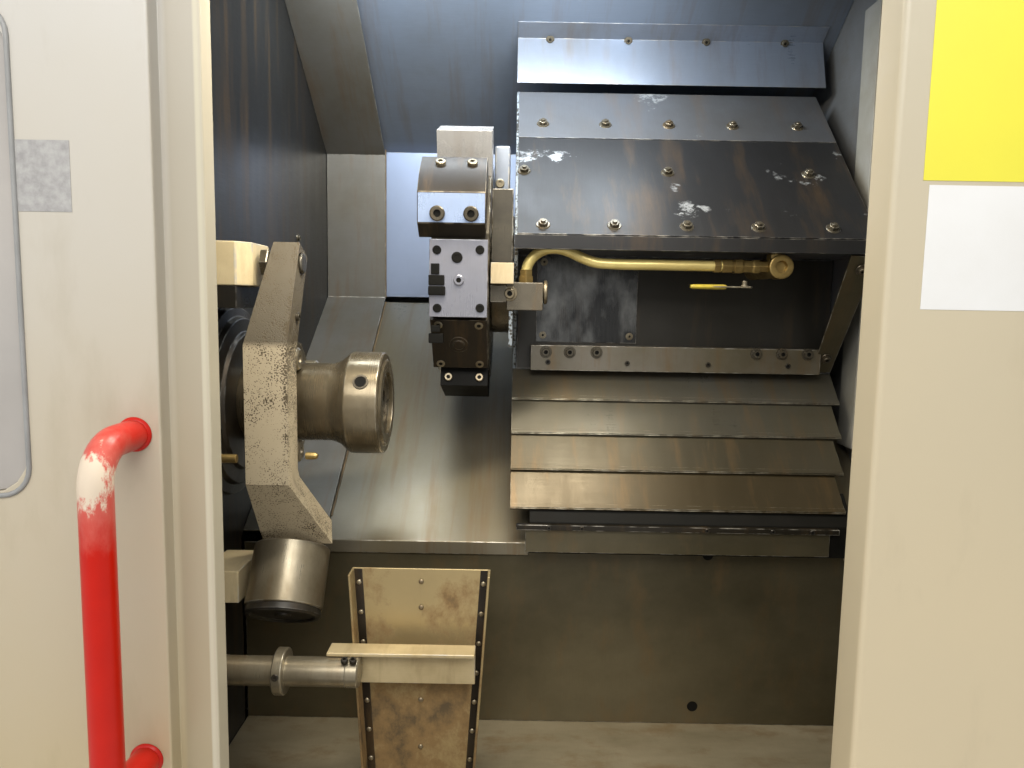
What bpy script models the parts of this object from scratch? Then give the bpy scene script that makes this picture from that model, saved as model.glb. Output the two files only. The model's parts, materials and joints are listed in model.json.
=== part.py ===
"""A slant-bed turning lathe with its sliding door open, built from named sizes in metres.

+X runs along the spindle to the right, +Y goes from the door into the machine, +Z is up.
The origin is on the floor, at the middle of the machine's box.
"""

import math

import bmesh
import bpy
from mathutils import Vector

# Whole machine
overall_width = 2.0
overall_depth = 1.42
overall_height = 1.8
sheet = 0.004
gap = 0.0003
weld = 0.00003
overrun = 0.01
ring_steps = 32
fine_steps = 48
corner_steps = 4
tube_resolution = 3

# Door and front
handle_reach = 0.085
door_thickness = 0.045
door_width = 0.72
door_edge_x = -0.245
door_lip = 0.04
door_lip_depth = 0.02
door_running_gap = 0.005
opening_left_x = -0.27
opening_right_x = 0.397
opening_below_spindle = 0.44
opening_above_spindle = 0.54
skirt_z = 0.1
window_width = 0.4
window_height = 0.45
window_below_spindle = 0.04
window_edge_inset = 0.169
window_corner = 0.04
window_thickness = 0.008
window_rebate = 0.006
handle_radius = 0.0145
handle_bend = 0.03
handle_edge_inset = 0.065
handle_below_spindle = 0.311
handle_length = 0.332
track_height = 0.03
track_depth = 0.03

# Spindle axis
setback_share = 0.28169
spindle_below_top = 0.74
spindle_bore_radius = 0.031
spindle_radius = 0.0575
flange_radius = 0.0925
flange_thickness = 0.02
flange_x = -0.275
nose_radius = 0.0755
nose_end_x = -0.135
nose_length = 0.054
nose_cone = 0.026
collet_radius = 0.046
collet_recess = 0.006
collet_length = 0.05
collet_bore_radius = 0.019
spindle_tail = 0.13

# Headstock
headstock_left_x = -0.8
headstock_bore_clearance = 0.0005
shield_radius = 0.14
shield_thickness = 0.03

# Drive
pulley_radius = 0.085
pulley_width = 0.05
motor_pulley_radius = 0.06
motor_radius = 0.11
motor_length = 0.34
belt_thickness = 0.006

# Work area
left_wall_x = -0.37
right_wall_x = 0.65
pan_drop = 0.523
pan_lip = 0.03
ledge_front = 0.04
ledge_drop = 0.224
rear_wall = 0.6
rear_wall_low = 0.151
rear_wall_high = 0.481
ceiling_high = 0.715
corner_panel_width = 0.13
lip_fold = 0.02

# Bed
bed_back = 0.625
bed_drop = 0.48
bed_base = 0.12
way_width = 0.06
way_height = 0.025
foot_radius = 0.045
foot_stem_radius = 0.018
foot_pad = 0.02
foot_inset = 0.12

# Saddle and its covers
slide_left_x = 0.05
slide_width = 0.558
cover_count = 4
cover_top_y = 0.2
cover_top_z = 0.037
cover_pitch = 0.0675
cover_lap = 0.05
cover_sheet = 0.0025
cover_step = 0.0045
cover_lip = 0.0015
cover_narrowing = 0.013
left_cover_reach = 0.36
right_cover_reach = 0.26

# Cross slide and its casing
casing_front_y = 0.05
casing_front_z = 0.255
casing_slope_length = 0.41
casing_back_drop = 0.26
recess_y = 0.2
recess_low = 0.037
wiper_width = 0.575
access_left = 0.04
access_width = 0.175
access_low = 0.085
access_height = 0.15
slide_block_height = 0.08

# Turret
turret_offset = 0.2
turret_sides = 10
turret_flat = 0.171
turret_left_x = -0.075
turret_width = 0.0875
turret_neck_radius = 0.1
holder_width = 0.1
holder_span = 0.105
holder_height = 0.06
holder_overhang = 0.017
holder_chamfer = 0.02
block_width = 0.087
block_span = 0.07
block_height = 0.069
face_plate_height = 0.012
face_plate_span = 0.095

# Coolant pipe and valve
pipe_radius = 0.0075
pipe_y = 0.078
pipe_run_z = 0.205
pipe_crest_z = 0.2235
coolant_block_x = 0.02
coolant_block_width = 0.085
coolant_block_low = 0.125
coolant_block_height = 0.045
pipe_run_end_x = 0.375
valve_radius = 0.012
valve_length = 0.075
elbow_radius = 0.019
elbow_length = 0.035
elbow_overlap = 0.005
stem_length = 0.018
lever_length = 0.085
lever_width = 0.016
lever_thickness = 0.003
lever_below = 0.001

# Setting arm
arm_pivot_y = -0.079
arm_pivot_z = 0.2
arm_left_x = -0.296
arm_width = 0.0565
arm_low_width = 0.097
arm_tip_width = 0.034
arm_taper_z = 0.092
arm_front = 0.15
arm_thickness = 0.042
arm_flat_high = 0.092
arm_flat_low = -0.091
arm_top_y = -0.085
arm_top_z = 0.228
arm_end_y = -0.085
arm_end_z = -0.19
arm_pin_radius = 0.014
cup_radius = 0.0525
cup_length = 0.097
cup_wall = 0.006
cup_depth = 0.02
cup_tilt = 34
cup_inset = 0.0365
bracket_depth = 0.09
bracket_height = 0.0875
bracket_above_pivot = 0.0255

# Part catcher
catcher_y = -0.17
catcher_z = -0.335
catcher_radius = 0.0195
catcher_end_x = -0.1436
catcher_collar_x = -0.246
catcher_collar_radius = 0.03
catcher_collar_width = 0.014
tray_left_x = -0.163
tray_width = 0.185
tray_top = 0.12
tray_bottom = 0.175
tray_y = 0.06
tray_sheet = 0.003
tray_side = 0.028

# Left ledge
ledge_plate_width = 0.05
ledge_plate_depth = 0.09
ledge_plate_height = 0.045

# Back, tank and control
cabinet_depth_share = 0.105634
cabinet_width = 1.1
cabinet_height_share = 0.666667
cabinet_low = 0.3
tank_height_share = 0.62
control_width = 0.34
control_height = 0.5
control_depth = 0.06
control_left_x = 0.6
control_below_spindle = 0.01
button_radius = 0.02
button_height = 0.018
button_stem_radius = 0.008
button_travel = 0.004

# Door opening, headstock, bed, saddle and other details
door_margin = 0.04
door_hole_edge = 0.02
headstock_front = 0.17
headstock_back = 0.17
headstock_high = 0.16
headstock_low = 0.16
headstock_cut = 0.12
headstock_leg_back = 0.03
headstock_leg_right_x = -0.45
wall_hole_radius = 0.12
motor_y = 0.15
motor_shaft_radius = 0.019
pulley_left_x = -0.93
bed_left_x = -0.4
bed_right_inset = 0.06
bed_front = 0.16
way_low = 0.2
way_high = -0.17
saddle_inset = 0.03
saddle_depth = 0.03
saddle_up = 0.24
saddle_low = 0.27
saddle_ledge_front = 0.29
saddle_ledge_back = 0.23
saddle_apron = 0.05
saddle_apron_thickness = 0.014
saddle_apron_step = 0.02
running_gap = 0.0005
plate_clearance = 0.01
plate_end = 0.003
wall_edge = 0.03
wall_back = 0.02
corner_lift = 0.006
casing_lip = 0.02
cheek_thickness = 0.006
wiper_low_y = 0.335
wiper_low_z = 0.56
wiper_high_y = 0.362
wiper_flange_y = 0.335
wiper_clearance = 0.003
slide_block_start = 0.075
slide_block_length = 0.26
turret_neck_gap = 0.0005
coolant_block_depth = 0.05
pipe_start_x = 0.065
pipe_bend_x = 0.045
valve_waist = 0.003
valve_nut_share = 0.25
lever_root = 0.012
stem_radius = 0.004
cup_offset = 0.02
bracket_pin_gap = 0.0005
tray_taper = 0.018
strap_overhang = 0.025
strap_right_inset = 0.015
strap_drop = 0.025
strap_flange = 0.03
strap_flange_height = 0.005
ledge_plate_y = -0.12
ledge_plate_low = -0.265
tank_left_x = -0.35
tank_right_x = 0.6
tank_front = 0.02
tank_back = 0.01
tank_wall = 0.006
button_x_inset = 0.07
button_depth = 0.02
motor_bore = 0.05
belt_inset = 0.008
bend_steps = 6
plinth_low = 0.06
lip_clear = 0.003
catcher_tail = 0.05
access_sheet = 0.003
ceiling_bend_y = 0.274
pipe_bend_radius = 0.024
station_share = 0.5
station_angles = (144, 108, 180)
button_z_inset = 0.1

# Places that several pieces share
front_y = handle_reach - overall_depth / 2
back_y = overall_depth / 2
spindle_y = front_y + setback_share * overall_depth
spindle_z = overall_height - spindle_below_top
opening_bottom_z = spindle_z - opening_below_spindle
opening_top_z = spindle_z + opening_above_spindle
window_bottom_z = spindle_z - window_below_spindle
handle_bottom_z = spindle_z - handle_below_spindle
control_low_z = spindle_z - control_below_spindle
cabinet_depth = cabinet_depth_share * overall_depth
cabinet_height = cabinet_height_share * overall_height
tank_height = tank_height_share * (spindle_z - pan_drop - bed_base)
frame_y = front_y + door_thickness + door_running_gap
panel_top_z = overall_height - sheet - gap
rear_panel_y = back_y - cabinet_depth - gap
turret_y = spindle_y + turret_offset
turret_z = spindle_z + turret_offset
slide_right_x = slide_left_x + slide_width
door_low_z = opening_bottom_z - door_margin
door_top_z = opening_top_z + door_margin
motor_z = bed_base + motor_radius + gap
diagonal = math.sqrt(0.5)
bed_lift = (cover_top_z - cover_top_y + bed_drop) * diagonal


def clear_scene():
    """Start from an empty scene."""
    for item in list(bpy.data.objects):
        bpy.data.objects.remove(item, do_unlink=True)


def collection(name):
    group = bpy.data.collections.new(name)
    bpy.context.scene.collection.children.link(group)
    return group


def finish(name, colour, roughness, metallic):
    """One Principled material in the colour that the surface shows."""
    material = bpy.data.materials.new(name)
    material.use_nodes = True
    shader = material.node_tree.nodes["Principled BSDF"]
    shader.inputs["Base Color"].default_value = (*colour, 1)
    shader.inputs["Roughness"].default_value = roughness
    shader.inputs["Metallic"].default_value = metallic
    return material


def place(item, material, location=(0, 0, 0), rotation=(0, 0, 0)):
    """Put an object with its material among the lathe's parts."""
    item.data.materials.clear()
    item.data.materials.append(material)
    item.location = location
    item.rotation_euler = rotation
    lathe.objects.link(item)
    return item


def box(name, low, high, material):
    """A rectangular block between two corners, with its origin at its middle."""
    low, high = Vector(low), Vector(high)
    shape = bmesh.new()
    bmesh.ops.create_cube(shape, size=1)
    bmesh.ops.scale(shape, vec=high - low, verts=shape.verts)
    mesh = bpy.data.meshes.new(name)
    shape.to_mesh(mesh)
    shape.free()
    return place(bpy.data.objects.new(name, mesh), material, (low + high) / 2)


def flat_mesh(name, loops, thickness):
    """A flat outline with holes, filled and thickened evenly about its plane."""
    curve = bpy.data.curves.new(name, "CURVE")
    curve.dimensions = "2D"
    curve.fill_mode = "BOTH"
    curve.extrude = thickness / 2
    for loop in loops:
        spline = curve.splines.new("POLY")
        spline.points.add(len(loop) - 1)
        for point, (u, v) in zip(spline.points, loop):
            point.co = (u, v, 0, 1)
        spline.use_cyclic_u = True
    guide = bpy.data.objects.new(name, curve)
    lathe.objects.link(guide)
    bpy.context.view_layer.update()
    evaluated = guide.evaluated_get(bpy.context.evaluated_depsgraph_get())
    mesh = bpy.data.meshes.new_from_object(evaluated)
    bpy.data.objects.remove(guide)
    shape = bmesh.new()
    shape.from_mesh(mesh)
    bmesh.ops.remove_doubles(shape, verts=shape.verts, dist=weld)
    bmesh.ops.recalc_face_normals(shape, faces=shape.faces)
    shape.to_mesh(mesh)
    shape.free()
    return mesh


def section(name, outline, left, right, material, holes=(), pivot=(0, 0)):
    """A side outline in (y, z), measured from the spindle axis, run from left to right."""
    loops = [[(y - pivot[0], z - pivot[1]) for y, z in loop] for loop in (outline, *holes)]
    mesh = flat_mesh(name, loops, right - left)
    where = ((left + right) / 2, spindle_y + pivot[0], spindle_z + pivot[1])
    turn = (math.radians(90), 0, math.radians(90))
    return place(bpy.data.objects.new(name, mesh), material, where, turn)


def front_sheet(name, outline, near, far, material, holes=()):
    """A front outline in (x, z), as deep as from near to far."""
    mesh = flat_mesh(name, (outline, *holes), far - near)
    where = (0, (near + far) / 2, 0)
    return place(bpy.data.objects.new(name, mesh), material, where, (math.radians(90), 0, 0))


def rectangle(left, low, right, high):
    return [(left, low), (right, low), (right, high), (left, high)]


def rounded_rectangle(left, low, right, high, corner):
    """A rectangle whose corners are quarter circles."""
    centres = [(right - corner, high - corner), (left + corner, high - corner),
               (left + corner, low + corner), (right - corner, low + corner)]
    points = []
    for number, (x, z) in enumerate(centres):
        for step in range(corner_steps + 1):
            angle = math.radians(90) * (number + step / corner_steps)
            points.append((x + corner * math.cos(angle), z + corner * math.sin(angle)))
    return points


def circle(centre, radius, steps=ring_steps):
    return [(centre[0] + radius * math.cos(math.tau * step / steps),
             centre[1] + radius * math.sin(math.tau * step / steps)) for step in range(steps)]


def turned(name, profile, location, material, closed=False, steps=ring_steps, turn=None):
    """A profile of (radius, along) turned about an axis, which runs along X unless turn says."""
    shape = bmesh.new()
    points = [shape.verts.new((radius, 0, along)) for radius, along in profile]
    for first, second in zip(points, points[1:]):
        shape.edges.new((first, second))
    if closed:
        shape.edges.new((points[-1], points[0]))
    mesh = bpy.data.meshes.new(name)
    shape.to_mesh(mesh)
    shape.free()
    item = bpy.data.objects.new(name, mesh)
    screw = item.modifiers.new("turn", "SCREW")
    screw.steps = steps
    screw.render_steps = steps
    screw.use_merge_vertices = True
    screw.merge_threshold = weld
    screw.use_smooth_shade = True
    return place(item, material, location, turn or (0, math.radians(90), 0))


def rod(name, radius, low, high, location, material, steps=ring_steps, turn=None):
    """A plain round bar."""
    profile = [(0, high), (radius, high), (radius, low), (0, low)]
    return turned(name, profile, location, material, steps=steps, turn=turn)


def sleeve(name, outer, inner, low, high, location, material, steps=ring_steps, turn=None):
    """A round ring or pipe."""
    profile = [(outer, high), (outer, low), (inner, low), (inner, high)]
    return turned(name, profile, location, material, closed=True, steps=steps, turn=turn)


def combine(target, tool, operation):
    """Cut or join with another object, which then waits among the cutters."""
    for group in tool.users_collection:
        group.objects.unlink(tool)
    cutters.objects.link(tool)
    tool.name = f"{target.name}.{operation.lower()}"
    tool.hide_render = True
    tool.display_type = "WIRE"
    change = target.modifiers.new(operation.lower(), "BOOLEAN")
    change.operation = operation
    change.object = tool
    return target


def along_slope(start, distance, lift=0):
    """A point up the 45 degree slope from start, and lifted square to it."""
    return (start[0] + diagonal * (distance - lift), start[1] + diagonal * (distance + lift))


def plate_line(y, lift=0):
    """Height of the sloping cover plates at a depth, both from the spindle axis."""
    rise = (rear_wall_low + ledge_drop) / (rear_wall - ledge_front)
    return (y - ledge_front) * rise - ledge_drop + lift


def folded(path, thickness):
    """The outline of a bent sheet: a path, and the same path moved square to itself."""
    inner = []
    for number, point in enumerate(path):
        normals = []
        for first, second in ((number - 1, number), (number, number + 1)):
            if first >= 0 and second < len(path):
                run = Vector(path[second]) - Vector(path[first])
                normals.append(Vector((run.y, -run.x)).normalized())
        mitre = sum(normals, Vector((0, 0))).normalized()
        inner.append(Vector(point) + mitre * thickness / mitre.dot(normals[0]))
    return [tuple(point) for point in (*path, *reversed(inner))]


def on_slope(down, lift):
    """A point of the cross slide's way, measured down the slope from the top cover plate."""
    return along_slope((cover_top_y, cover_top_z), -down, lift)


def roof_line(y):
    """Height of the leaning rear sheet above the spindle axis at a depth."""
    fall = (ceiling_high - rear_wall_high) / (rear_wall - ceiling_bend_y)
    return rear_wall_high + (rear_wall - y) * fall


def casing_path():
    """The cross slide's bent cover, from the foot of its recess round to its back."""
    lip_low = casing_front_z - casing_lip
    top_back = along_slope((casing_front_y, casing_front_z), casing_slope_length)
    back_low = along_slope(top_back, 0, -casing_back_drop)
    return [(recess_y, recess_low), (recess_y, lip_low), (casing_front_y, lip_low),
            (casing_front_y, casing_front_z), top_back, back_low]


def cheek_edge(z):
    """Depth of the slanted front edge of the casing's cheeks at a height."""
    lip_low = casing_front_z - casing_lip
    share = (lip_low - z) / (lip_low - recess_low)
    return casing_front_y + share * (recess_y - casing_front_y)


def build_base():
    """Plinth on four levelling feet, and the slant bed with its two ways."""
    left, right = gap + sheet - overall_width / 2, overall_width / 2 - sheet - gap
    front, back = frame_y + sheet + gap, rear_panel_y - sheet - gap
    plinth = box("base_plinth", (left, front, plinth_low), (right, back, bed_base - gap), paint_dark)
    for side_x in (left + foot_inset, right - foot_inset):
        for side_y in (front + foot_inset, back - foot_inset):
            stem_top = plinth_low + overrun
            profile = [(0, stem_top), (foot_stem_radius, stem_top), (foot_stem_radius, foot_pad),
                       (foot_radius, foot_pad), (foot_radius, 0), (0, 0)]
            foot = turned("foot", profile, (side_x, side_y, 0), paint_dark, turn=(0, 0, 0))
            combine(plinth, foot, "UNION")
    low = bed_base - spindle_z
    face = (bed_front, bed_front - bed_drop)
    outline = [(bed_front, low), face]
    for centre in (way_low, way_high):
        for down, lift in ((way_width / 2, 0), (way_width / 2, way_height),
                           (-way_width / 2, way_height), (-way_width / 2, 0)):
            outline.append(on_slope(centre + down, lift - bed_lift))
    outline += [(bed_back - way_width, bed_back - way_width - bed_drop),
                (bed_back, bed_back - way_width - bed_drop), (bed_back, low)]
    section("slant_bed", outline, bed_left_x, right - bed_right_inset, iron)


def build_enclosure():
    """Sheet-metal skins round the machine."""
    half = overall_width / 2
    outer = rectangle(-half, skirt_z, half, panel_top_z)
    hole = rectangle(opening_left_x, opening_bottom_z, opening_right_x + door_hole_edge, opening_top_z)
    front_sheet("front_frame", outer, frame_y, frame_y + sheet, paint_white, [hole])
    box("front_right_panel", (opening_right_x, front_y, skirt_z),
        (half, frame_y - gap, panel_top_z), paint_white)
    shell = folded([(half, skirt_z), (half, overall_height), (-half, overall_height), (-half, skirt_z)],
                   -sheet)
    front_sheet("cabinet_shell", shell, frame_y + sheet + gap, rear_panel_y - sheet - gap, paint_white)
    front_sheet("back_panel", outer, rear_panel_y - sheet, rear_panel_y, paint_white)
    box("electrical_cabinet", (-cabinet_width / 2, rear_panel_y + gap, cabinet_low),
        (cabinet_width / 2, back_y, cabinet_low + cabinet_height), paint_white)
    rail_back = frame_y - gap
    rail_right = opening_right_x - gap
    for name, low in (("upper_track", door_top_z + running_gap),
                      ("lower_track", door_low_z - running_gap - track_height)):
        box(name, (-half, rail_back - track_depth, low), (rail_right, rail_back, low + track_height), steel)


def build_control():
    """Operator's box, and the stop button that pushes in."""
    right = control_left_x + control_width
    front = front_y - control_depth
    top = control_low_z + control_height
    panel = box("control_box", (control_left_x, front, control_low_z), (right, front_y - gap, top),
                paint_dark)
    centre = (right - button_x_inset, control_low_z + button_z_inset)
    turn = (math.radians(90), 0, 0)
    bore = rod("button_bore", button_stem_radius + running_gap, -button_depth - button_travel, overrun,
               (centre[0], front, centre[1]), paint_dark, turn=turn)
    combine(panel, bore, "DIFFERENCE")
    head_low = button_travel + running_gap
    profile = [(0, head_low + button_height), (button_radius, head_low + button_height),
               (button_radius, head_low), (button_stem_radius, head_low),
               (button_stem_radius, -button_depth), (0, -button_depth)]
    turned("stop_button", profile, (centre[0], front, centre[1]), red, turn=turn)


def build_work_area():
    """Sheets that line the cutting space."""
    front = frame_y + sheet + gap - spindle_y
    floor = -pan_drop
    edge = plate_line(wall_edge, plate_clearance)
    far = rear_wall + wall_back
    outline = [(front, floor), (wall_edge, floor), (wall_edge, edge),
               (far, plate_line(far, plate_clearance)),
               (far, roof_line(far) + overrun), (ceiling_bend_y, ceiling_high + overrun),
               (front, ceiling_high + overrun)]
    spindle_hole = circle((0, 0), wall_hole_radius)
    catcher_hole = circle((catcher_y, catcher_z), catcher_radius + running_gap)
    section("left_wall", outline, left_wall_x - sheet, left_wall_x, liner, [spindle_hole, catcher_hole])
    section("right_wall", outline, right_wall_x, right_wall_x + sheet, liner)
    left, right = left_wall_x + gap, right_wall_x - gap
    rear = [(front, ceiling_high), (ceiling_bend_y, ceiling_high), (rear_wall, rear_wall_high),
            (rear_wall, plate_line(rear_wall, plate_clearance))]
    section("rear_liner", folded(rear, -sheet), left, right, liner)
    back = rear_wall - corner_lift
    strip = [(ledge_front, plate_line(ledge_front, sheet + corner_lift)),
             (back, plate_line(back, sheet + corner_lift)), (back, rear_wall_high - corner_lift),
             (ceiling_bend_y, ceiling_high - 2 * corner_lift)]
    section("corner_liner", folded(strip, -sheet), left, left + corner_panel_width, liner)
    top = plate_line(ledge_front, -sheet)
    upright = rectangle(ledge_front + gap, floor + gap, ledge_front + sheet, top - lip_clear)
    section("pan_back", upright, left, right, liner)
    pan_front = front + sheet + gap
    pan = [(pan_front, floor + pan_lip), (pan_front, floor), (ledge_front + sheet, floor)]
    section("chip_pan", folded(pan, sheet), left, right, bright)
    corner = (wiper_high_y, roof_line(wiper_high_y) - wiper_clearance)
    flange = (wiper_flange_y, roof_line(wiper_flange_y) - wiper_clearance)
    wiper = folded([(wiper_low_y, wiper_low_z), corner, flange], sheet / 2)
    section("wiper_cover", wiper, slide_left_x, slide_left_x + wiper_width, bright)
    tank_y = spindle_y + front + tank_front
    low, high = bed_base + gap, bed_base + tank_height
    tank = box("coolant_tank", (tank_left_x, tank_y, low), (tank_right_x, spindle_y + tank_back, high),
               paint_dark)
    hollow = box("tank_hollow", (tank_left_x + tank_wall, tank_y + tank_wall, low + tank_wall),
                 (tank_right_x - tank_wall, spindle_y + tank_back - tank_wall, high + overrun), paint_dark)
    combine(tank, hollow, "DIFFERENCE")


def build_door():
    """Sliding door, held open, with its window and tube handle."""
    left = door_edge_x - door_width
    outer = rectangle(left, door_low_z, door_edge_x, door_top_z)
    pane_right = door_edge_x - window_edge_inset
    pane_left = pane_right - window_width
    pane_top = window_bottom_z + window_height
    hole = rounded_rectangle(pane_left, window_bottom_z, pane_right, pane_top, window_corner)
    door = front_sheet("sliding_door", outer, front_y, front_y + door_thickness, paint_white, [hole])
    notch = box("door_notch", (door_edge_x - door_lip, front_y - overrun, door_low_z - overrun),
                (door_edge_x + overrun, front_y + door_lip_depth, door_top_z + overrun), paint_white)
    combine(door, notch, "DIFFERENCE")
    pane = rounded_rectangle(pane_left + gap, window_bottom_z + gap, pane_right - gap, pane_top - gap,
                             window_corner - gap)
    middle = front_y + window_rebate
    front_sheet("door_window", pane, middle, middle + window_thickness, glass)
    grip_x = door_edge_x - handle_edge_inset
    grip_y = front_y - handle_reach + handle_radius
    low, high = handle_bottom_z, handle_bottom_z + handle_length
    route = [Vector((grip_x, front_y - gap, low))]
    for centre_z, side in ((low + handle_bend, -1), (high - handle_bend, 1)):
        arc = [math.radians(90) * step / bend_steps for step in range(bend_steps + 1)]
        if side > 0:
            arc.reverse()
        for angle in arc:
            route.append(Vector((grip_x, grip_y + handle_bend * (1 - math.sin(angle)),
                                 centre_z + side * handle_bend * math.cos(angle))))
    route.append(Vector((grip_x, front_y - gap, high)))
    tube("door_handle", route, handle_radius, red)


def tube(name, route, radius, material):
    """A round tube along a route, with closed ends and its origin at the first point."""
    curve = bpy.data.curves.new(name, "CURVE")
    curve.dimensions = "3D"
    curve.bevel_depth = radius
    curve.bevel_resolution = tube_resolution
    curve.use_fill_caps = True
    spline = curve.splines.new("POLY")
    spline.points.add(len(route) - 1)
    for point, place_now in zip(spline.points, route):
        point.co = (*(place_now - route[0]), 1)
    place(bpy.data.objects.new(name, curve), material, route[0])


def build_headstock():
    """Headstock casting on its leg, the spindle that turns in it, and the belt drive."""
    leg_low = bed_base - spindle_z
    right = left_wall_x - sheet - gap
    bore = circle((0, 0), spindle_radius + headstock_bore_clearance)
    outline = [(-headstock_front, -headstock_low), (headstock_back - headstock_cut, -headstock_low),
               (headstock_back, headstock_cut - headstock_low), (headstock_back, headstock_high),
               (-headstock_front, headstock_high)]
    casting = section("headstock", outline, headstock_left_x, right, iron, [bore])
    leg = [(-headstock_front, leg_low), (headstock_leg_back, leg_low),
           (headstock_leg_back, overrun - headstock_low), (-headstock_front, overrun - headstock_low)]
    combine(casting, section("headstock_leg", leg, headstock_left_x, headstock_leg_right_x, iron), "UNION")
    axis = (0, spindle_y, spindle_z)
    sleeve("spindle_shield", shield_radius, spindle_radius + headstock_bore_clearance,
           left_wall_x + gap, left_wall_x + shield_thickness, axis, black)
    tail = headstock_left_x - spindle_tail
    flange_back = flange_x - flange_thickness
    spindle = [(flange_radius, flange_x), (flange_radius, flange_back), (spindle_radius, flange_back),
               (spindle_radius, tail), (spindle_bore_radius, tail), (spindle_bore_radius, flange_x)]
    turned("spindle", spindle, axis, dark_steel, closed=True)
    shoulder = nose_end_x - nose_length
    seat = nose_end_x - collet_recess - collet_length - gap
    nose = [(nose_radius, nose_end_x), (nose_radius, shoulder), (spindle_radius, shoulder - nose_cone),
            (spindle_radius, flange_x + gap), (spindle_bore_radius, flange_x + gap),
            (spindle_bore_radius, seat), (collet_radius + gap, seat), (collet_radius + gap, nose_end_x)]
    turned("collet_chuck", nose, axis, dark_steel, closed=True, steps=fine_steps)
    sleeve("collet", collet_radius, collet_bore_radius, seat + gap, nose_end_x - collet_recess, axis, steel)
    pulley_right = pulley_left_x + pulley_width
    sleeve("spindle_pulley", pulley_radius, spindle_radius + gap, pulley_left_x, pulley_right, axis, iron)
    motor_axis = (0, spindle_y + motor_y, motor_z)
    motor_right = headstock_left_x + motor_length
    hole = motor_shaft_radius + running_gap
    bore_end = headstock_left_x + motor_bore
    motor = [(0, motor_right), (motor_radius, motor_right), (motor_radius, headstock_left_x),
             (hole, headstock_left_x), (hole, bore_end), (0, bore_end)]
    turned("spindle_motor", motor, motor_axis, paint_dark)
    shaft_end = bore_end - gap
    pulley = [(0, shaft_end), (motor_shaft_radius, shaft_end), (motor_shaft_radius, pulley_right),
              (motor_pulley_radius, pulley_right), (motor_pulley_radius, pulley_left_x), (0, pulley_left_x)]
    turned("motor_pulley", pulley, motor_axis, iron)
    ends = ((0, 0, pulley_radius + gap), (motor_y, motor_z - spindle_z, motor_pulley_radius + gap))
    outer = belt_loop([(y, z, radius + belt_thickness) for y, z, radius in ends])
    section("drive_belt", outer, pulley_left_x + belt_inset, pulley_right - belt_inset, rubber,
            [belt_loop(ends)])


def belt_loop(ends):
    """The loop round two circles: an arc on each, joined by the lines that touch both."""
    (y0, z0, r0), (y1, z1, r1) = ends
    reach = Vector((y1 - y0, z1 - z0))
    lean = math.atan2(reach.y, reach.x)
    touch = math.acos((r0 - r1) / reach.length)
    points = []
    for y, z, radius, start, sweep in ((y0, z0, r0, lean + touch, math.tau - 2 * touch),
                                       (y1, z1, r1, lean - touch, 2 * touch)):
        for step in range(ring_steps + 1):
            angle = start + sweep * step / ring_steps
            points.append((y + radius * math.cos(angle), z + radius * math.sin(angle)))
    return points


def build_setting_arm():
    """Bent arm that hangs in front of the spindle, its pivot bracket and the cup on its end."""
    pivot = (arm_pivot_y, arm_pivot_z)
    left = left_wall_x + gap
    right = arm_left_x - running_gap
    high = arm_pivot_z + bracket_above_pivot
    outline = rectangle(arm_pivot_y - bracket_depth / 2, high - bracket_height,
                        arm_pivot_y + bracket_depth / 2, high)
    bracket = section("arm_bracket", outline, left, right, liner)
    pin_end = arm_left_x + arm_width - left
    pin = rod("arm_pin", arm_pin_radius, bracket_depth / 2, pin_end,
              (left, spindle_y + arm_pivot_y, spindle_z + arm_pivot_z), steel)
    combine(bracket, pin, "UNION")
    path = [(arm_top_y, arm_top_z), (-arm_front, arm_flat_high), (-arm_front, arm_flat_low),
            (arm_end_y, arm_end_z)]
    eye = circle(pivot, arm_pin_radius + bracket_pin_gap)
    right = arm_left_x + arm_width
    widest = arm_left_x + arm_low_width
    arm = section("setting_arm", folded(path, -arm_thickness), arm_left_x, widest, cast_grey, [eye], pivot)
    high, low = arm_top_z + overrun, arm_end_z - arm_thickness
    face = [(right, high), (right - arm_tip_width, high), (arm_left_x, arm_taper_z), (arm_left_x, low),
            (widest, low), (widest, arm_end_z), (right, arm_flat_low)]
    outline = [(x, spindle_z + z) for x, z in face]
    near, far = spindle_y - arm_front - overrun, spindle_y + overrun
    combine(arm, front_sheet("arm_face", outline, near, far, cast_grey), "INTERSECT")
    lean = math.radians(cup_tilt)
    axis = Vector((-math.sin(lean), -math.cos(lean)))
    across = Vector((math.cos(lean), -math.sin(lean)))
    top = Vector((arm_end_y, arm_end_z)) + axis * gap + across * cup_offset
    where = (arm_left_x + cup_inset, spindle_y + top.x, spindle_z + top.y)
    inner = cup_radius - cup_wall
    profile = [(0, 0), (cup_radius, 0), (cup_radius, -cup_length), (inner, -cup_length),
               (inner, cup_depth - cup_length), (0, cup_depth - cup_length)]
    turned("arm_cup", profile, where, steel, steps=fine_steps, turn=(-lean, 0, 0))


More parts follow.
